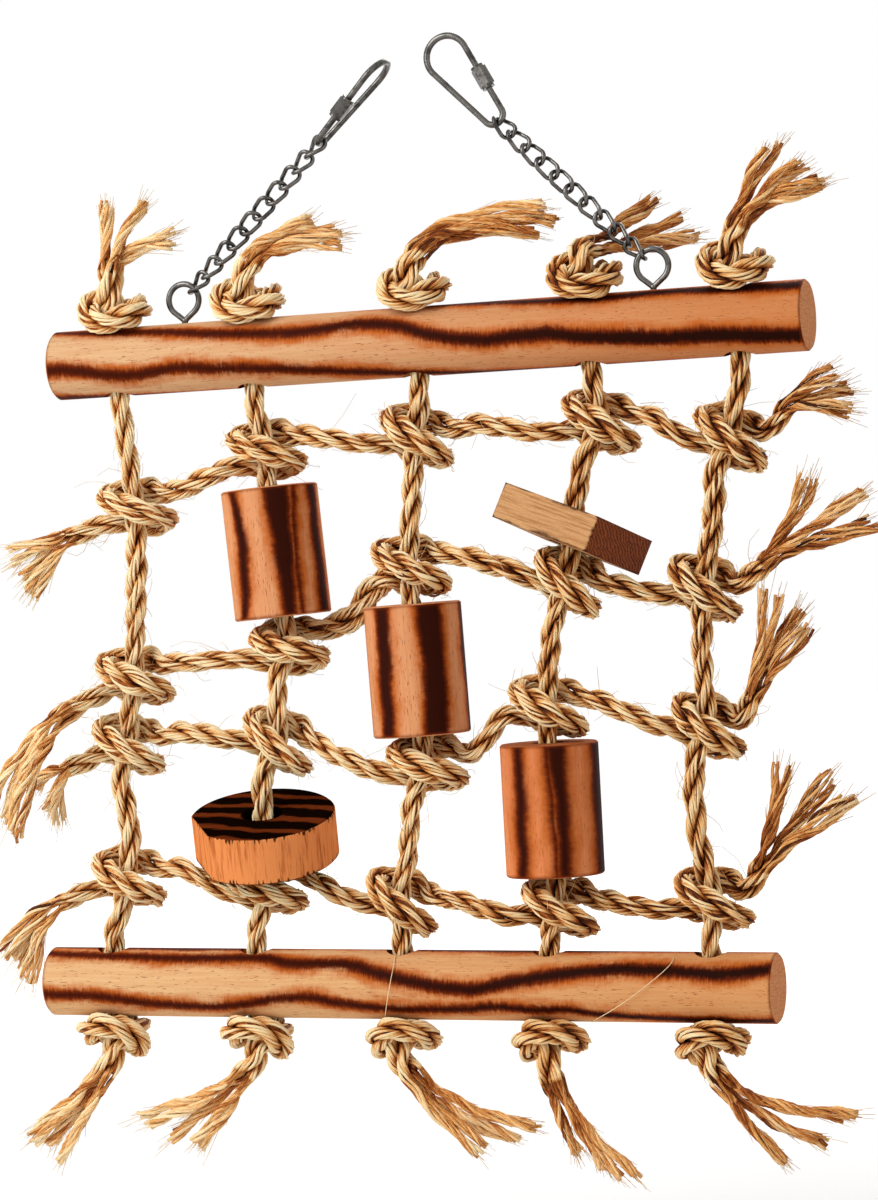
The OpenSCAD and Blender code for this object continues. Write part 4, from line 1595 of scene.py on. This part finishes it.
@dataclass
class Uprights:
    """The five upright ropes with their stopper knots and loose ends."""

    plan: NetPlan
    lay: Lay = field(default_factory=Lay)
    seed: int = 11
    seed_step: int = 7
    split_rows: tuple[int, ...] = (1, 1, 2, 1, 1)
    bend: float = 5.0
    knot_swell: float = 0.24
    swell_over: float = 4.0
    thread_r: float = 0.16
    thread_points: int = 14
    thread_gap: float = 0.1
    thread_lift: float = 1.2
    thread_bow: float = 2.5
    threads: tuple[Thread, ...] = (Thread(2, -2.0, -7.0, 66, -72), Thread(4, 101.0, 70.0, 62, -74))

    def build(self, finish: Material) -> list[Piece]:
        """Builds the upper and the lower half of each rope.

        Args:
            finish: The rope's material.

        Returns:
            The pieces.
        """
        made = []
        for col in range(COLUMNS):
            made += self._column(col, finish)
        return made

    def _column(self, col: int, finish: Material) -> list[Piece]:
        """Builds one rope in two pieces that meet inside a knot.

        Args:
            col: The upright.
            finish: The rope's material.

        Returns:
            The upper and the lower piece.
        """
        plan, lay = self.plan, self.lay
        maker = RopeMaker(lay, self.seed + self.seed_step * col)
        line = RopeLine(plan.upright(col), lay.step)
        laid = maker.lay_in(line, self._swell(line, col))
        cut = line.nearest(plan.knot(self.split_rows[col], col))
        above, below = slice(0, cut + 1), slice(cut, len(line.at))
        upper, lower = Bundle(lay), Bundle(lay)
        top_tail = maker.tail(line, laid, plan.top_tips[col], False, upper)
        low_tail = maker.tail(line, laid, plan.bottom_tips[col], True, lower)
        for yarn, top, low, tone in zip(laid.yarns, top_tail, low_tail, laid.tones):
            upper.add(*maker.whole(top, yarn[above], maker.NONE, tone[above], laid.radius[above]))
            lower.add(*maker.whole(maker.NONE, yarn[below], low, tone[below], laid.radius[below]))
        maker.hearts(line, laid, above, upper)
        maker.hearts(line, laid, below, lower)
        hidden = [perch.at(col, 0.0) for perch in plan.perches] + plan.wood_on(col)
        maker.strays(line, 0, cut, upper, hidden, plan.perches)
        maker.strays(line, cut, len(line.at) - 1, lower, hidden, plan.perches)
        for thread in self.threads:
            if thread.col == col:
                lower.add(self._lay_thread(thread), self.thread_r, 1.0)
        number = col + 1
        top = show(upper.mesh(f"upper_rope_{number}"), finish)
        low = show(lower.mesh(f"lower_rope_{number}"), finish)
        self._hang(top, plan.pivot(plan.top, col))
        self._hang(low, plan.pivot(plan.bottom, col))
        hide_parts(f"top_knot_{number}", f"top_tail_{number}", f"upright_rope_{number}")
        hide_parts(f"bottom_knot_{number}", f"bottom_tail_{number}")
        return [top, low]

    def _lay_thread(self, thread: Thread) -> Vec:
        """Lays a loose thread across the front of the lower perch.

        Args:
            thread: The thread.

        Returns:
            Its line.
        """
        perch = self.plan.bottom
        t = np.linspace(0, 1, self.thread_points)[:, None]
        swing = np.sin(math.pi * t)
        angle = np.radians(thread.high + (thread.low - thread.high) * t)
        along = thread.start + (thread.end - thread.start) * ease(t) + self.thread_bow * swing
        reach = (self.plan.hang.perch_d / 2 + self.thread_r + self.thread_gap
                 + self.thread_lift * swing ** 2)
        return (perch.middle + along * perch.run
                - reach * (np.cos(angle) * DEPTH + np.sin(angle) * perch.out))

    def _swell(self, line: RopeLine, col: int) -> Vec:
        """How much thicker the rope is at each place: more in its two stopper knots."""
        past = [(line.at - self.plan.mouth(perch, col)) @ perch.out for perch in self.plan.perches]
        return 1 + self.knot_swell * ease(np.maximum(*past) / self.swell_over)

    def _hang(self, piece: Piece, pivot: Vec) -> None:
        """Bakes a piece's place into its mesh; the pivot only yields two points that go unused."""
        rise = point(0, 0, self.bend)
        tuple((pivot + rise) * MM)
        tuple((pivot - rise) * MM)
        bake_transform(piece)


@dataclass
class CrossRopes:
    """The four cross ropes with their loose ends."""

    plan: NetPlan
    lay: Lay = field(default_factory=Lay)
    seed: int = 301
    seed_step: int = 13

    def build(self, finish: Material) -> list[Piece]:
        """Builds each rope as one piece.

        Args:
            finish: The rope's material.

        Returns:
            The pieces.
        """
        made = []
        for row in range(ROWS):
            maker = RopeMaker(self.lay, self.seed + self.seed_step * row)
            line = RopeLine(self.plan.cross(row), self.lay.step)
            laid = maker.lay_in(line, flat=True)
            bundle = Bundle(self.lay)
            left = maker.tail(line, laid, self.plan.left_tips[row], False, bundle)
            right = maker.tail(line, laid, self.plan.right_tips[row], True, bundle)
            for yarn, before, after, tone in zip(laid.yarns, left, right, laid.tones):
                bundle.add(*maker.whole(before, yarn, after, tone, laid.radius))
            maker.hearts(line, laid, slice(None), bundle)
            maker.strays(line, 0, len(line.at) - 1, bundle, (), self.plan.perches)
            number = row + 1
            piece = show(bundle.mesh(f"laid_cross_rope_{number}"), finish)
            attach(piece, Body.NET.value)
            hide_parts(f"cross_rope_{number}", f"left_tail_{number}",
                        f"right_tail_{number}")
            made.append(piece)
        return made


@dataclass
class Perches:
    """The two scorched perches."""

    hang: Hanging

    def dress(self) -> list[str]:
        """Gives both perches their stripes.

        Returns:
            The nodes' names.
        """
        hang = self.hang
        top = ScorchedFinish(
            "top_perch_wood", tuple(hang.top_middle * MM),
            (0.0, -math.radians(hang.top_tilt), 0.0), hang.top_len, hang.perch_d / 2, (
                Stripe(((0.0, 74), (0.09, 57), (0.18, 46), (0.23, 37), (0.3, 31), (0.38, 29),
                        (0.43, 34), (0.48, 27), (0.52, 11), (0.58, -5), (0.63, -6), (0.68, -5),
                        (0.74, -14), (0.79, -20), (0.86, -25), (0.93, -29), (1.0, -34)),
                       (1.1, 1.9, 2.6)),
                Stripe(((0.0, -11), (0.04, -13), (0.08, -24), (0.11, -27), (0.15, -24),
                        (0.18, -20), (0.23, -24), (0.29, -30), (0.34, -37), (0.39, -46),
                        (0.45, -55), (0.52, -70), (0.62, -85), (0.8, -95), (1.0, -100)),
                       (1.8, 1.4, 2.0)),
                Stripe(((0.0, 128), (0.27, 110), (0.5, 86), (0.54, 79), (0.61, 70), (0.67, 62),
                        (0.77, 60), (0.83, 64), (0.9, 57), (1.0, 57)), (2.2, 1.6, 2.4)),
                Stripe.even((178, 190, 172, 160, 168, 150), (2.4, 2.0, 2.6)),
                Stripe.even((-72, -98, -120, -142, -150, -165), (1.8, 2.4, 2.0))))
        bottom = ScorchedFinish(
            "bottom_perch_wood", tuple(hang.bottom_middle * MM),
            (0.0, -math.radians(hang.bottom_tilt), 0.0), hang.bottom_len, hang.perch_d / 2, (
                Stripe(((0.0, 62), (0.1, 55), (0.17, 52), (0.25, 53), (0.31, 55), (0.35, 43),
                        (0.39, 41), (0.44, 38), (0.47, 27), (0.53, 12), (0.57, 3), (0.61, 2),
                        (0.64, 8), (0.68, 18), (0.74, 31), (0.8, 36), (0.86, 34), (0.92, 27),
                        (0.96, 31), (1.0, 40)), (1.0, 1.9, 2.0)),
                Stripe(((0.0, -18), (0.07, -20), (0.11, -24), (0.15, -32), (0.21, -36),
                        (0.25, -37), (0.3, -28), (0.34, -19), (0.38, -18), (0.42, -27),
                        (0.47, -34), (0.52, -38), (0.58, -36), (0.63, -31), (0.68, -36),
                        (0.73, -35), (0.78, -45), (0.84, -53), (0.92, -57), (1.0, -57)),
                       (1.3, 1.3, 1.5)),
                Stripe.even((96, 84, 98, 86, 92, 100), (1.6, 1.4, 1.6)),
                Stripe(((0.0, 150), (0.3, 165), (0.6, 148), (1.0, 160)), (2.2, 2.0, 2.4)),
                Stripe.even((-105, -120, -104, -126, -118), (2.0, 2.4, 1.8))),
            # The right shade is darker: partly the wood's own tone, partly painted shade
            left_wood=srgb(224, 180, 130), right_wood=srgb(212, 152, 98))
        dress("top_perch", top.make())
        dress("bottom_perch", bottom.make())
        return ["top_perch", "bottom_perch"]


@dataclass
class Blocks:
    """The wooden blocks on the uprights."""

    plan: NetPlan
    diameter: float = 35.0
    bore: float = 5.5
    plate_bore: float = 7.3
    wood: Colour = srgb(218, 152, 106)
    core: Colour = srgb(48, 14, 5)
    fray: float = 0.3
    slab_side: float = 41.0
    slab_t: float = 13.0
    slab_tilt: float = 21.6
    slab_tilt_way: float = 22.9
    slab_turn: float = -15.0
    disc_t: float = 17.5
    disc_tilt: float = 16.0
    disc_seat: float = 45.0

    def _round(self, node: str, col: int, row: int, stripes: tuple[Stripe, ...],
               feather: float = 1.15, **colours: Colour) -> str:
        """Dresses one round block, whose own X runs up its bore.

        Args:
            node: The block's node.
            col: The upright that it is threaded on.
            row: The row of knots above it.
            stripes: Its stripes.
            feather: How softly they end.
            **colours: Colours in place of the usual ones.

        Returns:
            The node's name.
        """
        top, foot = self.plan.stretch(col, row)
        up = unit(top - foot)
        shades = {"left_wood": self.wood, "right_wood": self.wood, "left_core": self.core,
                  "right_core": self.core, **colours}
        finish = ScorchedFinish(
            f"{node}_wood", tuple((top + foot) / 2 * MM),
            (0.0, -math.pi / 2 + math.atan2(up[0], up[2]), 0.0), self.plan.block_len,
            self.diameter / 2, stripes, feather=feather, bore=self.bore, fray=self.fray, **shades)
        dress(node, finish.make())
        return node

    def dress(self) -> list[str]:
        """Gives the blocks their wood.

        Returns:
            The nodes' names.
        """
        made = [
            self._round("left_round_block", 1, 0, (
                Stripe.even((33, 23, 32), (1.3, 1.9, 1.2)),
                Stripe.even((-29, -30, -29), (1.9, 3.2, 4.4)),
                Stripe.even((-80, -79), (2.4, 2.0, 2.2)),
                Stripe.even((-45, -45, -52), (0.2, 0.4, 0.4)),
                Stripe.even((-140, -132), (2.0, 3.0, 2.0)),
                Stripe.even((178, 186), (3.0, 2.2, 2.0)),
                Stripe.even((112, 100), (2.4, 2.0, 3.0)))),
            self._round("middle_round_block", 2, 1, (
                Stripe.even((24, 23, 22), (2.4, 2.6, 2.8)),
                Stripe.even((-36, -40, -38), (4.2, 4.0, 4.4)),
                Stripe.even((-100, -95), (2.4, 2.4, 2.0)),
                Stripe.even((-160, -166), (3.2, 2.0, 3.0)),
                Stripe.even((128, 120), (3.0, 3.4, 2.2)),
                Stripe.even((76, 82), (2.0, 2.0, 2.4)))),
            self._round("right_round_block", 3, 2, (
                Stripe.even((24, 23, 25), (1.5, 1.7, 1.3)),
                Stripe.even((-28, -29, -25), (1.7, 1.8, 3.0)),
                Stripe.even((-18, -17, -14), (0.1, 0.2, 0.4)),
                Stripe.even((-92, -90), (4.6, 4.6, 4.6)),
                Stripe.even((-150, -142), (2.4, 3.0, 2.0)),
                Stripe.even((160, 168), (2.0, 2.4, 3.0)),
                Stripe.even((92, 86), (3.0, 2.4, 2.4))),
                1.75, left_wood=srgb(226, 142, 92), right_wood=srgb(216, 134, 88),
                end_wood=srgb(150, 88, 56))]
        return made + [self._slab(), self._disc()]

    def _rest(self, col: int, row: int, rise: float) -> Vec:
        """The middle of a plate that rests on a knot.

        Args:
            col: The upright.
            row: The row above the plate.
            rise: How far the middle lies above the knot.

        Returns:
            The middle.
        """
        below = self.plan.knot(row + 1, col)
        return below + rise * unit(self.plan.stretch(col, row)[-1] - below)

    def _slab(self) -> str:
        """Dresses the square slab.

        Returns:
            The node's name.
        """
        plan = self.plan
        tilt, heading = math.radians(self.slab_tilt), math.radians(self.slab_tilt_way)
        rise = (plan.turn_rise + plan.rope_r + plan.seat_gap + self.slab_t / 2 / math.cos(tilt)
                + math.tan(tilt) * 2 * plan.rope_r / 3)
        axis = Vector((-math.sin(heading), math.cos(heading), 0.0))
        spin = Matrix.Rotation(math.radians(self.slab_turn), 3, "Z")
        turn = (Matrix.Rotation(tilt, 3, axis) @ spin).to_euler()
        finish = SlabFinish("slab_wood", tuple(self._rest(3, 0, rise) * MM), tuple(turn),
                            self.slab_side / 2, self.slab_t / 2, self.plate_bore)
        dress("square_slab", finish.make())
        return "square_slab"

    def _disc(self) -> str:
        """Dresses the disc.

        Returns:
            The node's name.
        """
        plan, tilt = self.plan, math.radians(self.disc_tilt)
        rise = (plan.turn_rise * math.sin(math.radians(self.disc_seat)) + plan.rope_r
                + 2 * plan.seat_gap + self.disc_t / 2 / math.cos(tilt))
        finish = DiscFinish("disc_wood", tuple(self._rest(1, 2, rise) * MM), (tilt, 0.0, 0.0),
                            self.disc_t / 2, self.plate_bore)
        dress("flat_disc", finish.make())
        return "flat_disc"


@dataclass
class Hanger:
    """Links, nuts, chains and screw eyes."""

    hang: Hanging
    twist: float = 90.0
    left_roll: float = -48.0
    bend_points: int = 15
    rounding: int = 3
    nodes: tuple[str, ...] = ("left_link", "right_link", "left_nut", "right_nut",
                              "left_screw_eye", "right_screw_eye")

    def build(self, finish: Material) -> list[Piece]:
        """Builds the two chains of twisted links.

        Args:
            finish: The wire's plating.

        Returns:
            The pieces.
        """
        hang = self.hang
        left = hang.link_end(hang.left_top, hang.left_link_way)
        right = hang.link_end(hang.right_top, hang.right_link_way)
        return [self._chain("left_chain", left, hang.left_chain_way, (0.0, 90.0), self.left_roll,
                            finish),
                self._chain("right_chain", right, hang.right_chain_way, (90.0, 90.0), 0.0, finish)]

    def dress(self, finish: Material) -> list[str]:
        """Gives the other wire pieces their plating.

        Args:
            finish: The wire's plating.

        Returns:
            The nodes' names.
        """
        for node in self.nodes:
            dress(node, finish)
        return list(self.nodes)

    def _oval(self) -> Vec:
        """Finds the wire's middle line round one link, twisted along its length.

        Returns:
            The line's places.
        """
        hang = self.hang
        bend = (hang.chain_width - hang.chain_wire) / 2
        reach = hang.chain_inner + hang.chain_wire
        angles = np.radians(np.linspace(-90, 90, self.bend_points))
        right = np.stack([reach / 2 - bend + bend * np.cos(angles), bend * np.sin(angles)], axis=1)
        flat = np.vstack([right, -right])
        turn = np.radians(self.twist * flat[:, 0] / reach)
        return np.stack([flat[:, 0], flat[:, 1] * np.cos(turn), flat[:, 1] * np.sin(turn)], axis=1)

    def _chain(self, node: str, start: Vec, angle: float, ends: Range, roll: float,
               finish: Material) -> Piece:
        """Builds one chain.

        Args:
            node: The solid that it takes the place of.
            start: The middle of the wire that the first link hangs on.
            angle: The chain's way.
            ends: The turns of the chain's first and last end.
            roll: How far its middle has rolled round.
            finish: The wire's plating.

        Returns:
            The piece.
        """
        hang = self.hang
        total, gaps = ends[1] - ends[0] - self.twist, hang.chain_count - 1
        halves = math.copysign(math.floor(abs(total) / 180 + 0.5), total)
        step = (total - 180 * halves) / gaps
        reach = ((hang.chain_inner + hang.chain_wire) / 2
                 - (hang.link_wire + hang.chain_wire) / 2 - hang.wire_gap)
        x, y, z = self._oval().T
        lines = []
        for number in range(hang.chain_count):
            slack = roll * math.sin(math.pi * number / gaps)
            turn = math.radians(90 + ends[0] + self.twist / 2 + number * step + slack)
            ahead = x + reach + number * (hang.chain_inner - hang.wire_gap)
            deep = y * math.cos(turn) - z * math.sin(turn)
            aside = y * math.sin(turn) + z * math.cos(turn)
            lines.append(start + np.outer(ahead, way(angle)) + np.outer(deep, DEPTH)
                         + np.outer(aside, way(angle + 90)))
        mesh = swept(f"twisted_{node}", lines, hang.chain_wire / 2, self.rounding)
        piece = show(mesh, finish)
        for face in piece.data.polygons:
            face.use_smooth = True
        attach(piece, Body.CHAINS.value)
        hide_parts(node)
        return piece


@dataclass
class Studio:
    """Floor, light, background and camera."""

    target: Triple = (0.010, 0.0, -0.195)
    azimuth: float = 18.0
    elevation: float = 2.0
    distance: float = 1.45
    lens: float = 121.86
    sensor: float = 36.0
    floor_z: float = -0.46
    floor_half: float = 4.0
    floor_colour: Colour = (0.9, 0.9, 0.9, 1.0)
    near_glow: float = 0.1
    far_glow: float = 0.66
    glow_middle: float = 1050.0
    glow_soft: float = 550.0
    light: float = 0.4
    light_colour: Colour = (1.0, 0.99, 0.97, 1.0)
    white: Colour = (1.0, 1.0, 1.0, 1.0)
    lamps: tuple[tuple[str, Triple, float, float], ...] = (
        ("key", (-0.85, -1.1, 0.6), 1.1, 22.0),
        ("fill", (1.3, -0.9, 0.1), 1.2, 2.5),
        ("back", (0.2, 1.2, 0.7), 1.0, 12.0))

    def build(self) -> None:
        """Builds the studio."""
        self._world()
        self._floor()
        for lamp in self.lamps:
            self._lamp(*lamp)
        self._camera()
        bpy.context.scene.view_settings.view_transform = "Standard"

    def _seen(self, g: Graph) -> Wire:
        """Finds the light paths that show the plain white background.

        Args:
            g: The graph.

        Returns:
            A mask of those paths.
        """
        path = g.node("ShaderNodeLightPath")
        seen = Wire(g, path.outputs["Is Camera Ray"])
        for name in ("Is Glossy Ray", "Is Transmission Ray"):
            seen = seen.most(Wire(g, path.outputs[name]))
        return seen

    def _either(self, g: Graph, factor: Wire, first: Node, second: Node) -> Node:
        """One of two shaders, by a factor."""
        return g.node("ShaderNodeMixShader", None, {0: factor, 1: Wire(g, first.outputs[0]),
                                                    2: Wire(g, second.outputs[0])})

    def _world(self) -> None:
        """Sets a white background that lights the object at a plain level."""
        world = bpy.data.worlds.new("studio")
        bpy.context.scene.world = world
        g = Graph(world)
        soft = g.node("ShaderNodeBackground", None,
                      {"Color": self.light_colour, "Strength": self.light})
        white = g.node("ShaderNodeBackground", None, {"Color": self.white, "Strength": 1.0})
        both = self._either(g, self._seen(g), soft, white)
        g.node("ShaderNodeOutputWorld", None, {0: Wire(g, both.outputs[0])})

    def _floor(self) -> None:
        """Lays a pale floor under the net, which keeps its shadow."""
        shape = bmesh.new()
        bmesh.ops.create_grid(shape, x_segments=2, y_segments=2, size=self.floor_half)
        bmesh.ops.translate(shape, verts=shape.verts, vec=(0.0, 0.0, self.floor_z))
        mesh = bpy.data.meshes.new("floor")
        shape.to_mesh(mesh)
        shape.free()
        floor = bpy.data.objects.new("floor", mesh)
        bpy.context.scene.collection.objects.link(floor)
        material = bpy.data.materials.new("floor")
        g = Graph(material)
        matt = g.node("ShaderNodeBsdfDiffuse", None, {"Color": self.floor_colour})
        near = g.node("ShaderNodeEmission", None, {"Strength": self.near_glow})
        far = g.node("ShaderNodeEmission", None, {"Strength": self.far_glow})
        _, x, y, _ = g.place((0.0, 0.0, 0.0), (0.0, 0.0, 0.0))
        glow = self._either(g, g.outside(x, y, self.glow_middle, self.glow_soft), near, far)
        white = g.node("ShaderNodeAddShader", None,
                       {0: Wire(g, matt.outputs[0]), 1: Wire(g, glow.outputs[0])})
        both = self._either(g, self._seen(g), matt, white)
        g.node("ShaderNodeOutputMaterial", None, {0: Wire(g, both.outputs[0])})
        mesh.materials.append(material)

    def _lamp(self, name: str, place: Triple, size: float, power: float) -> None:
        """Adds one soft lamp that faces the net.

        Args:
            name: The lamp's name.
            place: Where it stands, in metres.
            size: The side of its square.
            power: Its power in watts.
        """
        lamp = bpy.data.lights.new(name, "AREA")
        lamp.size = size
        lamp.energy = power
        holder = bpy.data.objects.new(name, lamp)
        holder.location = place
        facing = Vector(self.target) - Vector(place)
        holder.rotation_euler = facing.to_track_quat("-Z", "Y").to_euler()
        bpy.context.scene.collection.objects.link(holder)

    def _camera(self) -> None:
        """Sets the camera at the photograph's viewing angle."""
        a, e = math.radians(self.azimuth), math.radians(self.elevation)
        back = Vector((math.sin(a) * math.cos(e), -math.cos(a) * math.cos(e), math.sin(e)))
        data = bpy.data.cameras.new("camera")
        data.lens = self.lens
        data.sensor_width = self.sensor
        camera = bpy.data.objects.new("camera", data)
        camera.location = Vector(self.target) + back * self.distance
        camera.rotation_euler = (-back).to_track_quat("-Z", "Y").to_euler()
        bpy.context.scene.collection.objects.link(camera)
        bpy.context.scene.camera = camera


def main() -> None:
    """Builds and dresses every piece in order."""
    logging.basicConfig(level=logging.INFO, format="%(name)s: %(message)s")
    Studio().build()
    hang = Hanging()
    plan = NetPlan(hang)
    sisal = SisalFinish().make()
    nickel = NickelFinish().make()
    hanger = Hanger(hang)
    ropes = Uprights(plan).build(sisal) + CrossRopes(plan).build(sisal)
    for piece in ropes + hanger.build(nickel):
        LOG.info("%s: %d faces", piece.name, len(piece.data.polygons))
    for node in Perches(hang).dress() + Blocks(plan).dress() + hanger.dress(nickel):
        LOG.info("%s dressed", node)


if __name__ == "__main__":
    main()
